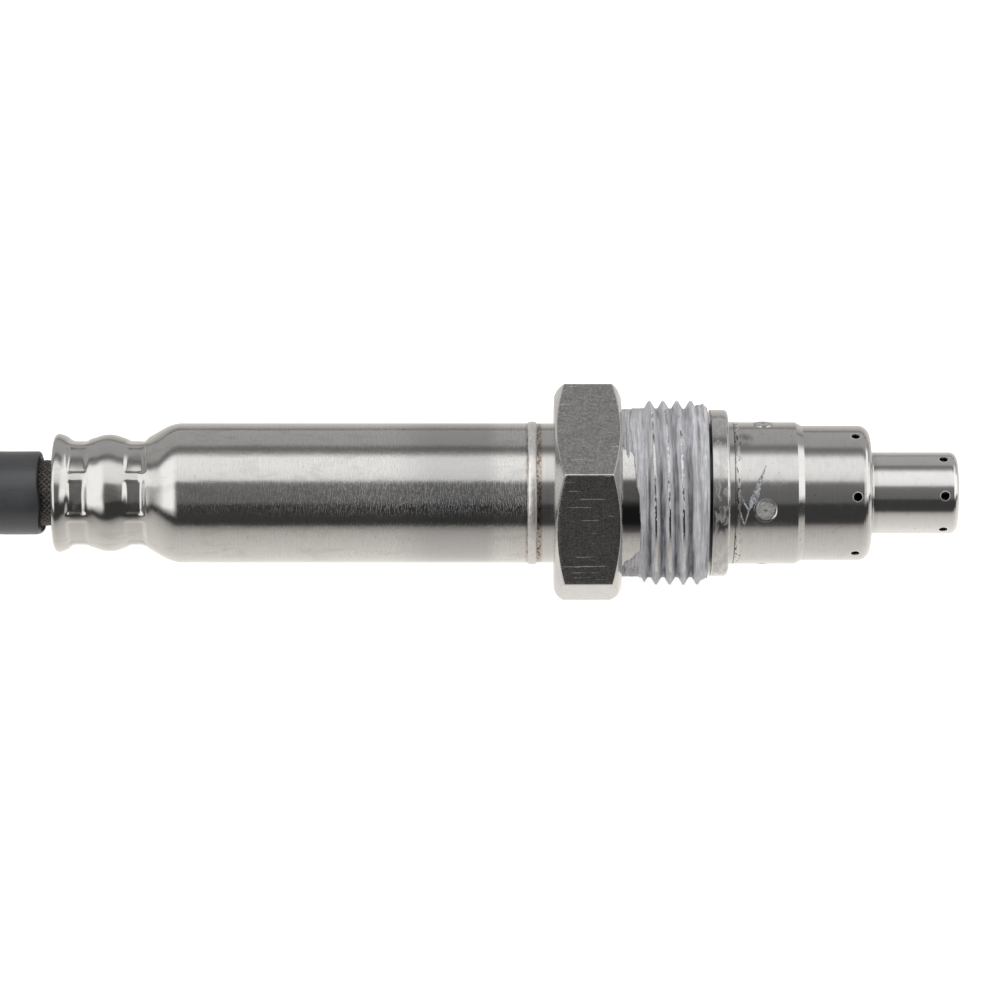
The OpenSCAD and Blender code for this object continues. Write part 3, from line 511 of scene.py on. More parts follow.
def sleeve_surface():
    """The bead as half an ellipse with a ripple, the tube, the shoulder and crimps, a quarter round at the
    rim, and back along the inside, one wall further in."""
    turn = np.arange(0, 360, 1.0)[None, :]
    bead = np.linspace(BEAD_X + BEAD_HALF, BEAD_X - BEAD_HALF, 17)[:, None]
    ripple = 1 + 0.12 * rough_field(bead * 2, turn / 3, 9, 120) + 0.1 * rough_field(bead, turn / 20, 10, 18)
    bead_r = TUBE_R + 0.02 + BEAD_H * np.sqrt(np.clip(1 - ((bead - BEAD_X) / BEAD_HALF)**2, 0, 1)) * ripple
    beside_bead = BEAD_X - BEAD_HALF - np.array([0.02, 0.07, 0.2])
    tube = np.concatenate([beside_bead, np.linspace(BEAD_X - 1.5, RAMP_FRONT + 0.1, 24)])[:, None]
    pressed = np.arange(RAMP_FRONT, SLEEVE_REAR + RIM_ROUND, -0.1)[:, None]
    a = np.linspace(PI / 2, PI, 7)[:, None]
    rim_x, rim_r = SLEEVE_REAR + RIM_ROUND * (1 + np.cos(a)), RIM_R - RIM_ROUND * (1 - np.sin(a))
    crimps = np.arange(SLEEVE_REAR + 0.4, RAMP_FRONT, 0.3)
    inside = np.concatenate([[SLEEVE_REAR + 0.04], crimps, [RAMP_FRONT, JOINT_X]])[:, None]
    wide = 0 * turn
    xs = np.concatenate([bead, tube, pressed, rim_x, inside]) + wide
    rs = np.concatenate([bead_r, crimped(tube, turn), crimped(pressed, turn), rim_r + wide,
        crimped(inside, turn) - SLEEVE_WALL])
    return grid_mesh("rear_sleeve_drawn", around(xs, rs, turn), closed=True, sharp=50)


# Woven inner sleeve where it shows between the rim and the lead

BRAID_R = 3.6
BRAID_YARNS = 38
BRAID_REAR, BRAID_FRONT = LEAD_FRONT - 1.4, SLEEVE_REAR + 2.15


def braid_surface():
    """Two sets of yarns that cross at equal and opposite slopes. Each yarn is the absolute cosine of half its
    phase, and the product of the cosines of turn and advance says which set lies on top."""
    turn = np.arange(0, 360, 0.75)[None, :]
    x = np.arange(BRAID_REAR, BRAID_FRONT, 0.04)[:, None]
    a, b = np.radians(turn) * BRAID_YARNS, x / BRAID_R * BRAID_YARNS
    on_top = 0.5 + 0.5 * np.cos(a / 2) * np.cos(b / 2)
    one, other = np.abs(np.cos((a + b) / 2)), np.abs(np.cos((a - b) / 2))
    height = np.maximum(one * (0.4 + 0.6 * on_top), other * (1 - 0.6 * on_top))
    outer = BRAID_R - 0.1 + 0.1 * height
    inner = np.full((2, turn.size), BRAID_R - 0.4)
    xs = np.concatenate([x + 0 * turn, x[[-1, 0]] + 0 * turn])
    marks = {"yarn": np.concatenate([height, 0 * inner])}
    points = around(xs, np.concatenate([outer, inner]), turn)
    return grid_mesh("braid_woven", points, closed=True, sharp=80, marks=marks)


# Lead: its sleeve along the route, open at the front with a rounded lip

LEAD_MOUTH_R = 3.72


def lead_surface(path):
    """Circles along the route, after a lip: the mouth's wall from inside, and a half round over to the
    outside, all cut off a little unevenly."""
    a = np.linspace(0, PI, 9)
    lip = (LEAD_R - LEAD_MOUTH_R) / 2
    x = np.concatenate([[LEAD_FRONT - 3, LEAD_FRONT - 1.5], LEAD_FRONT - lip + lip * np.sin(a)])
    r = np.concatenate([[LEAD_MOUTH_R] * 2, LEAD_MOUTH_R + lip * (1 - np.cos(a))])
    sides = 48
    turn = round_angles(sides)
    cut = 0.2 * rough_field(turn * 0, turn * 11 / TURN, 12, 11) - 0.2
    x = x[:, None] + cut * rise(x, LEAD_FRONT - 1.4, LEAD_FRONT - 0.5)[:, None]
    mouth = np.stack([x, r[:, None] * -np.cos(turn), r[:, None] * np.sin(turn)], -1)
    return grid_mesh("lead_sleeve", np.concatenate([mouth, swept(path[1:], LEAD_R, sides)]), sharp=60)


# Paste smeared on the cap, as thin humps that follow its wall

SMEARS = [
    [(7.43, 24.5, 0.03), (7.6, 30, 0.08), (7.8, 37, 0.1), (8.05, 41, 0.2), (8.35, 46, 0.36), (8.6, 50, 0.4),
        (8.85, 56, 0.24), (9.25, 65, 0.16), (9.75, 74, 0.03)],
    [(7.85, 37.5, 0.08), (7.6, 40, 0.1), (7.3, 44, 0.08), (7.0, 50, 0.07), (6.85, 56, 0.03)],
    [(7.45, 24, 0.04), (7.3, 27, 0.12), (7.08, 31, 0.1), (6.92, 37, 0.03)]]
SMEAR_HEIGHT, SMEAR_DEPTH = 0.05, 0.03

# Distance from a stake's middle and height over the cap's wall: centre mark, face, edge, sunk ring and lip

STAKE_LINE = [(0.0, -0.02), (0.07, -0.02), (0.13, 0.03), (0.18, 0.075), (0.24, 0.085), (0.34, 0.083),
    (0.5, 0.08), (0.7, 0.078), (0.86, 0.075), (0.94, 0.068), (0.99, 0.05), (1.02, 0.02), (1.035, -0.01),
    (1.045, -0.035), (1.07, -0.05), (1.12, -0.04), (1.18, -0.014), (1.23, 0.004), (1.27, 0.008),
    (1.28, 0.006), (1.3, -0.005), (1.4, -0.06)]
STAKE_FACE_R, STAKE_RING_R = 0.95, 1.05


def stake_surface(k):
    """One round stake in its dish: the stake's line carried round its middle, on the cap's wall. Its face is
    flat: a constant radius over the cosine of the turn from the middle."""
    rho, high = np.array(STAKE_LINE).T[:, :, None]
    a = round_angles(56)[None, :]
    uneven = 0.009 * rough_field(rho * 6, a * 9 / TURN, 20 + k, 9) * (rho < STAKE_FACE_R) * (rho > 0)
    x = STAKE_X + rho * np.cos(a)
    off = rho * np.sin(a) / CAP_R
    turn = STAKE_TURN + 360 / STAKES * k + np.degrees(off)
    r = (CAP_R + high + uneven) / np.where(rho < STAKE_RING_R, np.cos(off), 1)
    under = np.stack([x[-1], x[0]]), np.stack([turn[-1], turn[0]]), np.full((2, a.size), CAP_R - 0.35)
    x, turn, r = (np.concatenate([p, q]) for p, q in zip((x, turn, r), under))
    return grid_mesh("cap_stake_%d" % (k + 1), around(x, r, turn), sharp=60)


def smear(route, seed):
    """One smear: a route of x, turn and half width on the wall, with an edge that wanders, and across it a
    low hump, a power of the sine."""
    route = np.array(route, float)
    t = np.linspace(0, len(route) - 1, 16 * (len(route) - 1) + 1)
    x, turn, half = (np.interp(t, np.arange(len(route)), route[:, k]) for k in range(3))
    c = round_angles(24)[None, :]
    wander = 1 + 0.3 * rough_field(t[:, None] * 5, c * 4 / TURN + 0.01, seed, 4)
    across = np.cos(c) * half[:, None] * wander
    along = np.gradient(x), np.gradient(np.radians(turn) * CAP_R)
    size = np.hypot(*along)
    lumps = 1 + 0.4 * rough_field(t[:, None] * 7, c, seed + 1, 6)
    up = np.clip(np.sin(c), 0, 1)**0.7 * SMEAR_HEIGHT * lumps * np.minimum(half[:, None] * 5, 1)
    r = CAP_R + np.where(np.sin(c) > 0, up, -SMEAR_DEPTH)
    xs = x[:, None] - across * (along[1] / size)[:, None]
    turns = turn[:, None] + np.degrees(across * (along[0] / size)[:, None] / CAP_R)
    return grid_mesh("paste_smear_%d" % seed, around(xs, r, turns), sharp=80)


# Materials

class Nodes:
    """A node tree built up by short calls, each of which gives the new node's output."""

    def __init__(self, tree):
        self.tree = tree

    def feed(self, value, socket):
        if isinstance(value, bpy.types.NodeSocket):
            self.tree.links.new(value, socket)
        else:
            socket.default_value = value

    def node(self, kind, inputs=None, **settings):
        """The outputs of a new shader node with these settings, whose inputs are fed by name or number."""
        made = self.tree.nodes.new("ShaderNode" + kind)
        for name, value in settings.items():
            setattr(made, name, value)
        for name, value in (inputs or {}).items():
            self.feed(value, made.inputs[name])
        return made.outputs

    def calc(self, how, a, b=0.0):
        return self.node("Math", {0: a, 1: b}, operation=how)[0]

    def times(self, a, b):
        return self.calc("MULTIPLY", a, b)

    def plus(self, a, b):
        return self.calc("ADD", a, b)

    def minus(self, a, b):
        return self.calc("SUBTRACT", a, b)

    def most(self, a, b):
        return self.calc("MAXIMUM", a, b)

    def span(self, value, low, high, to_low=0.0, to_high=1.0):
        """A value eased from one level to another between two ends."""
        inputs = {"Value": value, "From Min": low, "From Max": high, "To Min": to_low, "To Max": to_high}
        return self.node("MapRange", inputs, interpolation_type="SMOOTHSTEP")["Result"]

    def spread(self, noise, low=0.0, high=1.0):
        """A noise brought from the stretch where most of it lies to two levels."""
        return self.span(noise, 0.3, 0.7, low, high)

    def band(self, value, low, full, falls, high):
        """1 between full and falls, eased down to 0 at low and at high."""
        return self.times(self.span(value, low, full), self.span(value, falls, high, 1.0, 0.0))

    def tint(self, share, a, b, at_most=1.0):
        """Colour a, turned to colour b by a share, times the most that it may be."""
        if at_most < 1:
            share = self.times(share, at_most)
        a, b = (c if isinstance(c, bpy.types.NodeSocket) else (*c, 1) for c in (a, b))
        return self.node("Mix", {0: share, 6: a, 7: b}, data_type="RGBA")[2]


class Finish(Nodes):
    """A material built up from patterns in millimetres on the object's own coordinates."""

    def __init__(self, name, colour, roughness, metallic=0.0):
        self.material = bpy.data.materials.new(name)
        self.material.use_nodes = True
        super().__init__(self.material.node_tree)
        self.shader = self.tree.nodes["Principled BSDF"]
        self.set("Base Color", (*colour, 1))
        self.set("Roughness", roughness)
        self.set("Metallic", metallic)

    def set(self, name, value):
        self.feed(value, self.shader.inputs[name])

    def where(self, along=1.0, across=1.0, start=0.0):
        """The object's own coordinates in millimetres, times one factor along X and another across it; a
        start moves a pattern on, so that two of like factors differ."""
        return self.node("Mapping", {"Vector": self.node("TexCoord")["Object"],
            "Scale": (along / MM, across / MM, across / MM),
            "Location": (start, start * 0.7, start * 0.3)})["Vector"]

    def axis(self, name):
        return self.node("SeparateXYZ", {0: self.where()})[name]

    def mark(self, name):
        return self.node("Attribute", attribute_name=name)["Fac"]

    def noise(self, along, across, detail=2.0, rough=0.5, bend=0.0, start=0.0):
        """Noise of about this many waves a millimetre along X and across it."""
        return self.node("TexNoise", {"Vector": self.where(along, across, start), "Scale": 1.0,
            "Detail": detail, "Roughness": rough, "Distortion": bend})["Fac"]

    def lines(self, along, across, start=0.0):
        """Noise drawn out round the axis: fine along X and long around, with no seam."""
        return self.noise(along, across, 3.0, 0.55, start=start)

    def near(self, point, full, none):
        """1 close to a point, in millimetres, and 0 further off."""
        off = self.node("VectorMath", {0: self.where(), 1: point}, operation="DISTANCE")
        return self.span(off["Value"], full, none, 1.0, 0.0)

    def bump(self, height, depth, strength):
        """Tilts the surface as a height map of this depth in millimetres would; bumps add up."""
        inputs = {"Height": height, "Distance": depth * MM, "Strength": strength}
        before = self.shader.inputs["Normal"].links
        if before:
            inputs["Normal"] = before[0].from_socket
        self.set("Normal", self.node("Bump", inputs)["Normal"])


def scaled(colour, factor):
    return tuple(c * factor for c in colour)


def dress(piece, finish):
    piece.data.materials.clear()
    piece.data.materials.append(finish.material)


def spot_on(x, r, turn):
    """A point on a round surface, from X, radius and turn."""
    a = math.radians(turn)
    return (x, -r * math.cos(a), r * math.sin(a))


METAL = (0.64, 0.63, 0.615)
PASTE = (0.4, 0.405, 0.43)
PASTE_LIGHT = (0.57, 0.58, 0.615)
# Paste colour for the painted shade in the grooves
PAINTED_GROOVE_SHADE = (0.085, 0.086, 0.092)
PASTE_WHITE = (0.8, 0.82, 0.87)
# Near-black of the painted shade at the nose's front end, beside the collar
NOSE_GAP_SHADE_COLOUR = (0.02, 0.018, 0.017)
BURNT = (0.12, 0.085, 0.06)
SMUDGE_SPOT = spot_on(CAP_REAR + 0.9, CAP_R, 100)


def nut_finish():
    """Milled and turned steel; paste where the marks put it, streaked round the axis in light and dark, with
    painted shade in the grooves, brown at one smear; painted shade also darkens a band of the relief and the
    nose's front end beside the collar."""
    f = Finish("nut_steel", METAL, 0.2, 1.0)
    speckle = f.noise(4.5, 4.5, 3.0, 0.6)
    mottle = f.noise(0.9, 0.9)
    scratch = f.span(f.noise(0.13, 6, 3.0, 0.7), 0.64, 0.71)
    fleck = f.noise(7, 2.2, 3.0, 0.6)
    on_hex = f.times(f.span(f.axis("X"), HEX_FRONT - 0.1, HEX_FRONT, 1.0, 0.0),
        f.span(f.mark("front"), 0.5, 0.8, 1.0, 0.0))
    turned = f.tint(f.span(speckle, 0.35, 0.7), (0.60, 0.59, 0.575), (0.70, 0.69, 0.67))
    milled = f.tint(f.span(speckle, 0.36, 0.64), (0.51, 0.5, 0.495), (0.66, 0.65, 0.64))
    milled = f.tint(f.span(mottle, 0.4, 0.62), milled, (0.68, 0.67, 0.66), 0.5)
    milled = f.tint(scratch, milled, (0.8, 0.79, 0.77))
    # The relief's band of painted shade turns the metal almost black.
    metal = f.tint(f.mark("shade"), f.tint(on_hex, turned, milled), (0.02, 0.02, 0.02))
    share = f.span(f.plus(f.mark("paste"), f.times(f.minus(fleck, 0.5), 0.7)), 0.42, 0.6)
    streak = f.lines(3.2, 0.28)
    thin_streak = f.lines(9, 0.35, 4.0)
    paste = f.tint(f.span(streak, 0.38, 0.6), PASTE, PASTE_LIGHT)
    paste = f.tint(f.span(thin_streak, 0.52, 0.66), paste, PASTE_WHITE, 0.45)
    paste = f.tint(f.span(thin_streak, 0.44, 0.34), paste, (0.22, 0.22, 0.225), 0.4)
    groove = f.times(f.mark("groove"), f.span(streak, 0.35, 0.65, 1.0, 0.55))
    # Painted shade in the grooves: the paste turned dark where the groove mark is high.
    paste = f.tint(f.span(groove, 0.1, 0.9, 0.0, 0.92), paste, PAINTED_GROOVE_SHADE)
    paste = f.tint(f.span(mottle, 0.45, 0.65), paste, (0.36, 0.34, 0.31), 0.3)
    paste = f.tint(f.times(f.mark("brown"), f.span(fleck, 0.3, 0.6)), paste, BURNT)
    # Painted shade beside the collar: the nose's front end goes near-black and loses its metal.
    nose_gap_shade = f.mark("nose_gap_shade")
    f.set("Base Color", f.tint(nose_gap_shade, f.tint(share, metal, paste), NOSE_GAP_SHADE_COLOUR))
    f.set("Metallic", f.minus(1.0, f.most(share, nose_gap_shade)))
    steel_rough = f.plus(f.spread(fleck, 0.09, 0.13), f.times(on_hex, f.spread(speckle, 0.08, 0.16)))
    f.set("Roughness", f.plus(steel_rough, f.times(share, f.spread(streak, 0.22, 0.42))))
    f.bump(f.times(speckle, on_hex), 0.02, 0.32)
    f.bump(f.times(scratch, on_hex), 0.01, 0.6)
    f.bump(f.times(streak, share), 0.08, 0.4)
    f.bump(f.times(thin_streak, share), 0.04, 0.35)
    f.bump(f.times(fleck, share), 0.02, 0.3)
    return f


def turned_finish(name, colour, roughness, groove=0.012, tone=0.14):
    """Steel with fine turning lines round it and faint cloudy patches."""
    f = Finish(name, colour, roughness, 1.0)
    line = f.lines(14, 0.25)
    f.set("Base Color", f.tint(f.spread(line), scaled(colour, 1 - tone), scaled(colour, 1 + tone)))
    f.set("Roughness", f.spread(f.noise(0.6, 0.6), roughness * 0.85, roughness * 1.2))
    f.bump(line, groove, 0.5)
    return f


def housing_finish():
    """Turned steel: heat tint beside the weld, painted shade in the narrow space behind the collar, paste
    specks on it.
    """
    f = turned_finish("housing_steel", METAL, 0.14, 0.003, 0.05)
    colour = f.shader.inputs["Base Color"].links[0].from_socket
    x = f.axis("X")
    grain = f.noise(5, 2.6, 3.0, 0.6)
    tan = f.span(f.plus(x, f.times(grain, 0.5)), JOINT_X + 1.7, JOINT_X + 1.35)
    colour = f.tint(tan, colour, (0.42, 0.33, 0.24), 0.55)
    burnt = f.times(f.span(grain, 0.48, 0.56), f.span(x, JOINT_X + 1.3, JOINT_X + 1.1))
    colour = f.tint(burnt, colour, (0.13, 0.09, 0.055), 0.85)
    fleck = f.span(f.noise(2.6, 1.6, 3.0, 0.6), 0.66, 0.72)
    film = f.span(f.noise(1.6, 0.7, 4.0, 0.6, 0.8), 0.42, 0.62)
    on_collar = f.band(x, COLLAR_REAR + 0.1, COLLAR_REAR + 0.3, COLLAR_FRONT - 0.1, COLLAR_FRONT + 0.2)
    specks = f.times(f.most(fleck, f.times(film, 0.45)), on_collar)
    # Painted shade: near-black from inside the nut's bore to the collar's rear face.
    collar_gap_shade = f.band(x, NUT_FRONT - 1.5, NUT_FRONT - 0.5, COLLAR_REAR + 0.02, COLLAR_REAR + 0.1)
    f.set("Base Color", f.tint(collar_gap_shade, f.tint(specks, colour, PASTE), (0.02, 0.018, 0.016)))
    f.set("Metallic", f.minus(1.0, f.most(collar_gap_shade, specks)))
    return f


def sleeve_finish():
    """Drawn steel: short wavy hairs nearly square to the axis on the tube, a polish at the crimps, a dull
    stretch, a few stains, and a light weld bead beside a thin brown line of heat tint."""
    f = Finish("sleeve_steel", METAL, 0.14, 1.0)
    x = f.axis("X")
    crimps = f.span(x, SHOULDER_X + 0.6, SHOULDER_X - 0.8)
    brushed = f.minus(1.0, crimps)
    hairy = f.times(brushed, f.span(x, SHOULDER_X + 2, JOINT_X - 8, 0.4, 1.0))
    hair = f.noise(9, 1.7, 3.0, 0.65, 0.3)
    light_hair = f.noise(11, 1.4, 2.0, 0.6, 0.35)
    line = f.lines(16, 0.3, 5.0)
    colour = f.tint(f.times(f.span(line, 0.35, 0.7), brushed), (0.63, 0.622, 0.605), (0.67, 0.662, 0.645))
    colour = f.tint(f.times(f.span(hair, 0.42, 0.3), brushed), colour, (0.5, 0.493, 0.48))
    colour = f.tint(f.times(f.span(light_hair, 0.52, 0.66), hairy), colour, (0.73, 0.722, 0.708))
    dull = f.band(x, JOINT_X - 16, JOINT_X - 10, JOINT_X - 5, JOINT_X - 3)
    colour = f.tint(dull, colour, (0.475, 0.47, 0.475), 0.75)
    stain = f.noise(0.22, 0.6, 4.0, 0.6, 0.7)
    colour = f.tint(f.span(stain, 0.5, 0.62), colour, (0.5, 0.485, 0.46), 0.35)
    bead = f.span(x, BEAD_X - BEAD_HALF - 0.03, BEAD_X - BEAD_HALF + 0.05)
    bead_colour = f.tint(f.span(hair, 0.35, 0.6), (0.72, 0.71, 0.69), (0.88, 0.87, 0.84))
    colour = f.tint(bead, colour, bead_colour)
    brown = f.band(x, BEAD_X - 0.9, BEAD_X - 0.5, BEAD_X - 0.46, BEAD_X - 0.4)
    brown = f.times(brown, f.span(hair, 0.4, 0.6, 0.25, 0.85))
    f.set("Base Color", f.tint(brown, colour, (0.26, 0.19, 0.12)))
    rough = f.plus(f.span(hair, 0.3, 0.75, 0.09, 0.16), f.times(crimps, 0.015))
    f.set("Roughness", f.plus(rough, f.times(bead, 0.22)))
    f.set("Metallic", f.span(bead, 0.0, 1.0, 1.0, 0.75))
    f.bump(f.times(hair, hairy), 0.006, 0.5)
    f.bump(f.times(f.span(light_hair, 0.48, 0.64), hairy), 0.0055, 0.65)
    f.bump(f.noise(0.25, 0.5), 0.04, 0.4)
    return f


def cap_finish():
    """Deep-drawn steel, brighter at the tip and with painted shade inside: faint lines round it, dull stains,
    pits, a smudge, painted highlights round the gas holes, and a brown seam with dark specks and a light ring
    at its rear."""
    f = Finish("cap_steel", METAL, 0.16, 1.0)
    x = f.axis("X")
    grain = f.noise(6, 2.5, 3.0, 0.6)
    cloud = f.noise(0.9, 0.7, 4.0, 0.6, 0.3)
    stain = f.span(cloud, 0.5, 0.64)
    colour = f.tint(f.span(f.lines(9, 0.3), 0.25, 0.75), (0.63, 0.624, 0.616), (0.665, 0.66, 0.652))
    colour = f.tint(stain, colour, (0.50, 0.475, 0.44), 0.16)
    colour = f.tint(f.span(x, TIP_REAR - 0.2, TIP_REAR + 0.3), colour, (0.82, 0.815, 0.81), 0.45)
    # Painted highlights: light edges round the gas holes, where their rounded edges would catch light;
    # rougher there as well.
    hole_rim_highlights = 0.0
    for place, turn, r in ((BODY_HOLE_X, BODY_HOLE_TURN, BODY_R), (TIP_HOLE_X, TIP_HOLE_TURN, TIP_R)):
        for k in range(HOLES):
            hole_rim_highlights = f.most(hole_rim_highlights, f.near(spot_on(place, r, turn + 360 / HOLES * k), 0.52, 0.64))
    colour = f.tint(hole_rim_highlights, colour, (0.95, 0.94, 0.92))
    ring = f.band(x, CAP_REAR + 0.25, CAP_REAR + 0.33, CAP_REAR + 0.55, CAP_REAR + 0.65)
    colour = f.tint(ring, colour, (0.85, 0.84, 0.82), 0.6)
    smudge = f.times(f.near(SMUDGE_SPOT, 0.4, 1.5), f.span(cloud, 0.35, 0.6, 0.2, 0.7))
    colour = f.tint(smudge, colour, (0.16, 0.15, 0.14))
    seam = f.span(f.plus(x, f.times(grain, 0.4)), CAP_REAR + 0.36, CAP_REAR + 0.28)
    seam = f.times(seam, f.span(grain, 0.35, 0.55, 0.45, 1.0))
    specks = f.span(f.noise(4, 1.5, 3.0, 0.6), 0.57, 0.62)
    dirt = f.times(specks, f.span(x, CAP_REAR + 0.9, CAP_REAR + 0.5))
    colour = f.tint(f.most(seam, dirt), colour, BURNT)
    colour = f.tint(f.span(f.noise(3.3, 3.3), 0.73, 0.77), colour, (0.2, 0.17, 0.14))
    # Painted shade: the cap's inside, within its walls, is coloured near-black.
    off_axis = f.calc("SQRT", f.plus(f.calc("POWER", f.axis("Y"), 2.0), f.calc("POWER", f.axis("Z"), 2.0)))
    body_inside_shade, tip_inside_shade = (f.times(f.calc("LESS_THAN", off_axis, r - 0.15), f.calc("LESS_THAN", x, place + 0.6))
        for r, place in ((BODY_R, BODY_HOLE_X), (TIP_R, TIP_HOLE_X)))
    tip_inside_shade = f.times(tip_inside_shade, f.calc("GREATER_THAN", x, TIP_REAR))
    f.set("Base Color", f.tint(f.most(body_inside_shade, tip_inside_shade), colour, (0.05, 0.045, 0.04)))
    rough = f.spread(grain, 0.11, 0.16)
    for share, more in ((stain, 0.04), (f.most(ring, smudge), 0.18), (hole_rim_highlights, 0.3), (seam, 0.3)):
        rough = f.plus(rough, f.times(share, more))
    f.set("Roughness", rough)
    f.bump(cloud, 0.012, 0.3)
    f.bump(f.times(grain, stain), 0.004, 0.5)
    return f


def stake_finish():
    """Pressed steel: the stake's face dull and mottled by the punch, with painted shading that is lighter in
    its middle and darker towards its edge, dark at the centre mark, the dish round it bright."""
    f = Finish("stake_steel", (0.6, 0.59, 0.57), 0.2, 1.0)
    grain = f.noise(5, 5, 3.0, 0.6)
    face, middle, mark = 0.0, 0.0, 0.0
    for k in range(STAKES):
        spot = spot_on(STAKE_X, CAP_R, STAKE_TURN + 360 / STAKES * k)
        face = f.most(face, f.near(spot, 1.02, 1.05))
        middle = f.most(middle, f.near(spot, 0.35, 1.0))
        mark = f.most(mark, f.near(spot, 0.13, 0.32))
    dull = f.tint(f.span(grain, 0.36, 0.64), (0.24, 0.237, 0.23), (0.5, 0.495, 0.485))
    # Painted shading: the face lighter in its middle than towards its edge.
    dull = f.tint(middle, dull, (0.62, 0.61, 0.6), 0.5)
    dull = f.tint(mark, dull, (0.08, 0.075, 0.07), 0.7)
    f.set("Base Color", f.tint(face, (0.62, 0.61, 0.595), dull))
    f.set("Roughness", f.plus(0.14, f.times(face, f.spread(grain, 0.2, 0.34))))
    f.set("Metallic", f.span(face, 0.0, 1.0, 1.0, 0.45))
    f.bump(f.times(grain, face), 0.03, 0.5)
    return f


def smear_finish():
    """Wet-looking grey paste, thicker and lighter in lumps."""
    f = Finish("mounting_paste", PASTE_LIGHT, 0.4)
    lump = f.noise(4, 4, 3.0, 0.6)
    f.set("Base Color", f.tint(f.span(lump, 0.38, 0.62), (0.13, 0.134, 0.142), (0.42, 0.43, 0.455)))
    f.bump(lump, 0.05, 0.6)
    return f


def braid_finish():
    """Varnished glass yarns: brown in the gaps, grey-brown on top with small bright threads, partly the
    glass's own white and partly painted glints.
    """
    f = Finish("braid", (0.16, 0.13, 0.1), 0.45)
    yarn = f.mark("yarn")
    thread = f.noise(9, 9)
    colour = f.tint(f.span(yarn, 0.35, 0.85), (0.02, 0.016, 0.013), (0.115, 0.1, 0.085))
    # Bright threads on the yarns' tops: partly the glass's own white, partly painted glints.
    bright = f.times(f.span(thread, 0.58, 0.7), f.span(yarn, 0.7, 0.95))
    f.set("Base Color", f.tint(bright, colour, (0.72, 0.69, 0.62)))
    f.set("Roughness", f.spread(thread, 0.35, 0.6))
    f.bump(thread, 0.03, 0.6)
    return f


def rubber_finish(name, colour, roughness, grain, depth):
    """Rubber or plastic skin: a faint cloudy tone, a fine grain in height and gloss, glossier rubs."""
    f = Finish(name, colour, roughness)
    fine = f.noise(grain, grain, 3.0, 0.6)
    rub = f.span(f.noise(0.5, 2.5, 3.0, 0.7), 0.58, 0.72)
    light = tuple(c * 1.35 + 0.004 for c in colour)
    f.set("Base Color", f.tint(f.spread(f.noise(0.15, 0.15)), scaled(colour, 0.8), light))
    f.set("Roughness", f.minus(f.spread(fine, roughness * 0.85, roughness * 1.15), f.times(rub, 0.12)))
    f.bump(fine, depth, 0.5)
    return f


def fired_finish(name, dark, light, roughness, grain):
    """Ceramic or pressed powder: fine grains of two close tones."""
    f = Finish(name, light, roughness)
    speck = f.noise(grain, grain, 4.0, 0.65)
    f.set("Base Color", f.tint(f.spread(speck), dark, light))
    f.set("Roughness", f.spread(speck, roughness * 0.8, min(1.0, roughness * 1.15)))
    f.bump(speck, 0.02, 0.5)
    return f


# Room: the studio's light in stops of degrees about the probe's axis and level, and the table's in the metal

ROOM_LEVELS = [(-180, 0.47), (-8.5, 0.5), (-6.5, 0.08), (-2, 0.055), (31, 0.05), (35, 0.15), (64, 0.19),
    (68.5, 0.27), (73, 0.95), (80, 1.05), (95, 1.13), (111, 1.13), (116, 0.8), (120, 0.42), (126, 0.22),
    (132, 0.2), (136, 0.34), (140, 0.44), (176, 0.47), (180, 0.47)]
ROOM_WARMTH = (1, 0.991, 0.983)
ROOM_FILL = 1.4
SIDES_LEVEL = 1.35
SIDES_WARMTH = (1, 0.99, 0.98)
LEFT_FROM, LEFT_FULL, LEFT_TURNS = -0.13, -0.44, [(-180, 0), (8, 0), (24, 1), (106, 1), (121, 0)]
LEFT_FADES, LEFT_DIM, LEFT_REST = -0.74, -0.95, 0.3
RIGHT_FROM, RIGHT_FULL, RIGHT_TURNS = 0.5, 0.72, [(-180, 0), (26, 0), (44, 1), (148, 1), (160, 0)]
TABLE_HALF = 6000
TABLE_GREY = (0.35, 0.35, 0.35)
TABLE_WARMTH = (1, 0.965, 0.92)
TABLE_SEEN = 0.9
TABLE_FILL = 0.7
TABLE_LEVEL, TABLE_FALL, TABLE_DARK = 0.985, 0.2, 0.08
TABLE_FULL_TO = 6.0
TABLE_FAR_FROM, TABLE_FAR_FALL = 2.1, 0.1
TABLE_BEYOND, TABLE_BEYOND_FALL = 1.0, 0.17
TABLE_AT_TIP = 0.03


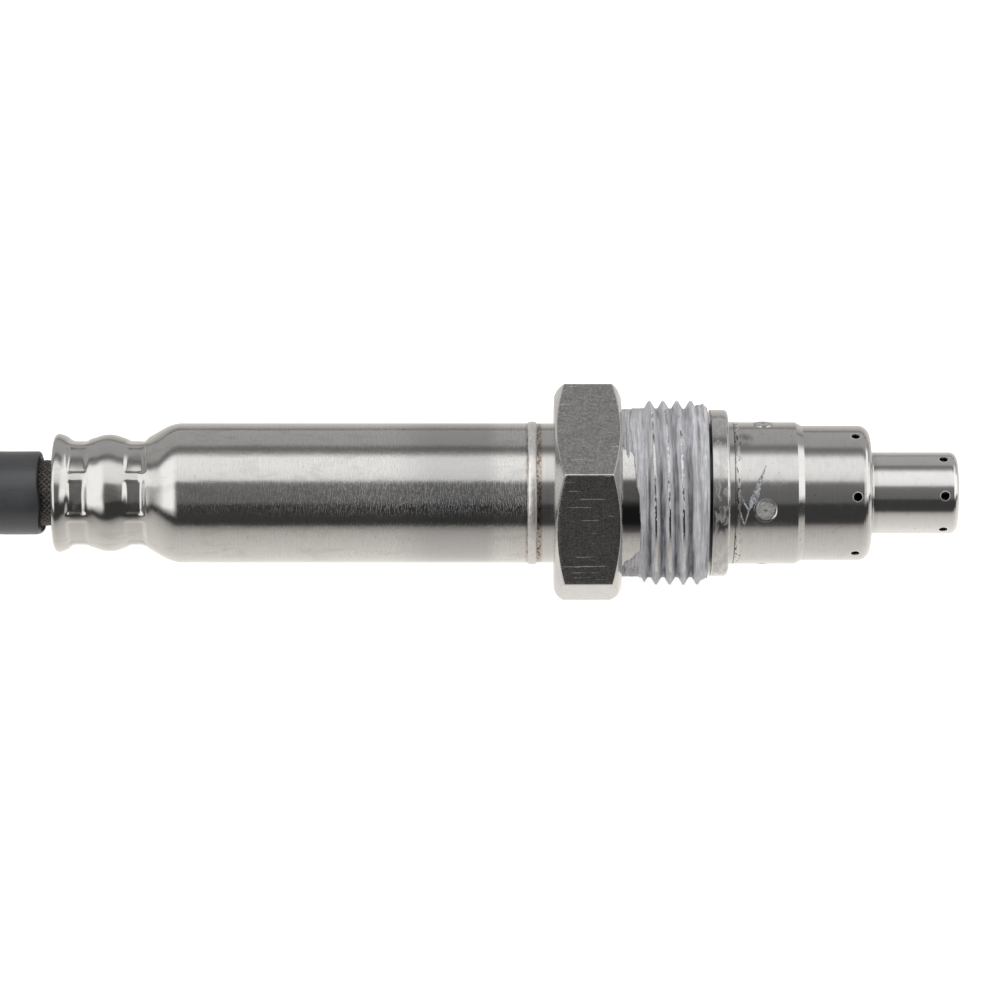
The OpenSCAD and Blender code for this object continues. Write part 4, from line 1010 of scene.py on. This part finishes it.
def make_world():
    """A studio whose light changes with the turn about the probe's axis: 0 is level on the viewer's side and
    180 on the far side, and which is light to the left and right. It is fuller for dull surfaces, and white
    where the camera looks past the table."""
    world = bpy.data.worlds.new("studio")
    world.use_nodes = True
    bpy.context.scene.world = world
    world.node_tree.nodes.clear()
    w = Nodes(world.node_tree)
    x, y, z = w.node("SeparateXYZ", {0: w.node("TexCoord")["Generated"]})
    turn = w.calc("ARCTAN2", z, w.times(y, -1))
    share = w.node("MapRange", {"Value": turn, "From Min": -PI, "From Max": PI})["Result"]

    def levels(stops):
        """Light read from stops of turn and level."""
        ramp = w.tree.nodes.new("ShaderNodeValToRGB")
        elements = ramp.color_ramp.elements
        elements.remove(elements[-1])
        for k, (angle, level) in enumerate(stops):
            element = elements[0] if k == 0 else elements.new((angle + 180) / 360)
            element.position = (angle + 180) / 360
            element.color = (*scaled(ROOM_WARMTH, level), 1)
        w.feed(share, ramp.inputs[0])
        return ramp.outputs[0]

    left = w.times(w.span(x, LEFT_FROM, LEFT_FULL), levels(LEFT_TURNS))
    left = w.times(left, w.span(x, LEFT_FADES, LEFT_DIM, 1.0, LEFT_REST))
    right = w.times(w.span(x, RIGHT_FROM, RIGHT_FULL), levels(RIGHT_TURNS))
    lit = w.tint(w.most(left, right), levels(ROOM_LEVELS), scaled(SIDES_WARMTH, SIDES_LEVEL))
    rays = w.node("LightPath")
    fill = w.node("MapRange", {"Value": rays["Is Diffuse Ray"], "To Min": 1.0, "To Max": ROOM_FILL})
    room = w.node("Background", {"Color": lit, "Strength": fill["Result"]})[0]
    seen = w.node("Background", {"Color": (1, 1, 1, 1)})[0]
    mix = w.node("MixShader", {0: rays["Is Camera Ray"], 1: room, 2: seen})[0]
    w.node("OutputWorld", {0: mix})


def make_table():
    """A white table. To a camera it shines a little, so that it reads as white; in the metal it fades with
    the logarithm of the distance from the probe's axis, each side at its own rate."""
    half, z = TABLE_HALF * MM, (FLOOR_Z - 0.02) * MM
    mesh = bpy.data.meshes.new("table")
    corners = [(-half, -half, z), (half, -half, z), (half, half, z), (-half, half, z)]
    mesh.from_pydata(corners, [], [(0, 1, 2, 3)])
    table = bpy.data.objects.new("table", mesh)
    bpy.context.scene.collection.objects.link(table)
    f = Finish("table", TABLE_GREY, 0.9)
    f.set("Specular IOR Level", 0.0)
    rays = f.node("LightPath")
    glossy = rays["Is Glossy Ray"]
    f.set("Base Color", f.tint(glossy, TABLE_GREY, (0, 0, 0)))
    f.set("Emission Color", f.tint(glossy, (1, 1, 1), TABLE_WARMTH))
    y = f.axis("Y")
    off = f.calc("DIVIDE", f.calc("ABSOLUTE", y), TABLE_FULL_TO)
    away = f.calc("LOGARITHM", f.most(off, 1.0), math.e)
    far = f.times(f.most(f.minus(away, TABLE_FAR_FROM), 0.0), TABLE_FAR_FALL)
    fall = f.plus(f.times(away, TABLE_FALL), far)
    near = f.plus(f.minus(TABLE_LEVEL, fall), f.span(f.axis("X"), 19, 25, 0.0, TABLE_AT_TIP))
    beyond = f.minus(TABLE_BEYOND, f.times(away, TABLE_BEYOND_FALL))
    behind = f.span(y, -1, 1)
    level = f.plus(f.times(f.most(near, TABLE_DARK), f.minus(1.0, behind)), f.times(beyond, behind))
    camera = f.times(rays["Is Camera Ray"], TABLE_SEEN)
    dull = f.times(rays["Is Diffuse Ray"], TABLE_FILL)
    f.set("Emission Strength", f.plus(f.plus(camera, dull), f.times(glossy, level)))
    dress(table, f)


def lay_lead():
    path = evenly(lead_path(), 2.0)
    lead = lead_surface(path)
    skin = rubber_finish("lead_sleeve", (0.027, 0.0295, 0.0345), 0.42, 3.0, 0.02)
    skin.set("Specular IOR Level", 0.85)
    skin.set("Coat Weight", 0.35)
    skin.set("Coat Roughness", 0.4)
    dress(lead, skin)
    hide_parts("lead", "lead_hank", "lead_tail")
    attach(lead, "probe")


def put_nut():
    nut = nut_surface()
    dress(nut, nut_finish())
    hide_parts("union_nut")
    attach(nut, "nut")


def put_sleeve():
    sleeve = sleeve_surface()
    dress(sleeve, sleeve_finish())
    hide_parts("rear_sleeve")
    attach(sleeve, "probe")


def put_braid():
    braid = braid_surface()
    dress(braid, braid_finish())
    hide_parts("braid_sleeve")
    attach(braid, "probe")


def put_stakes():
    finish = stake_finish()
    for k in range(STAKES):
        piece = stake_surface(k)
        dress(piece, finish)
        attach(piece, "probe")


def put_smears():
    finish = smear_finish()
    for k, route in enumerate(SMEARS):
        piece = smear(route, k + 1)
        dress(piece, finish)
        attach(piece, "probe")


def dress_inside():
    """Finishes of the CAD's own pieces, most of them out of sight."""
    rows = [
        (housing_finish(), "housing"),
        (cap_finish(), "protective_cap"),
        (turned_finish("cover_steel", (0.3, 0.29, 0.27), 0.45), "inner_cover_tube", "inner_cover_cup"),
        (turned_finish("inner_steel", (0.6, 0.6, 0.59), 0.28), "inner_cylinder", "press_ring", "clip_ring"),
        (turned_finish("plated_contacts", (0.75, 0.68, 0.5), 0.25), "contact_terminals", "plug_contacts"),
        (fired_finish("support_ceramic", (0.78, 0.77, 0.73), (0.9, 0.89, 0.86), 0.55, 5.0), "front_support",
            "middle_support", "rear_support", "upper_contact_block", "lower_contact_block"),
        (fired_finish("talc", (0.6, 0.6, 0.57), (0.76, 0.76, 0.73), 0.9, 3.0), "front_talc", "rear_talc"),
        (fired_finish("element_ceramic", (0.76, 0.75, 0.7), (0.88, 0.87, 0.83), 0.4, 8.0), "sensor_element"),
        (rubber_finish("wire_skin", (0.7, 0.7, 0.67), 0.4, 6.0, 0.01), "lead_wires"),
        (rubber_finish("grommet_rubber", (0.05, 0.045, 0.045), 0.7, 5.0, 0.03), "grommet"),
        (rubber_finish("tie_nylon", (0.025, 0.025, 0.026), 0.35, 4.0, 0.015), "hank_tie"),
        (rubber_finish("boot_rubber", (0.03, 0.03, 0.033), 0.6, 4.0, 0.03), "plug_boot"),
        (rubber_finish("plug_plastic", (0.045, 0.05, 0.055), 0.38, 6.0, 0.02), "plug_body"),
        (rubber_finish("seal_rubber", (0.36, 0.09, 0.05), 0.5, 5.0, 0.02), "plug_seal")]
    for finish, *names in rows:
        for name in names:
            dress(nodes[name], finish)


place_camera()
make_world()
make_table()
lay_lead()
put_nut()
put_sleeve()
put_braid()
put_stakes()
put_smears()
dress_inside()

bpy.context.scene.view_settings.view_transform = "Standard"
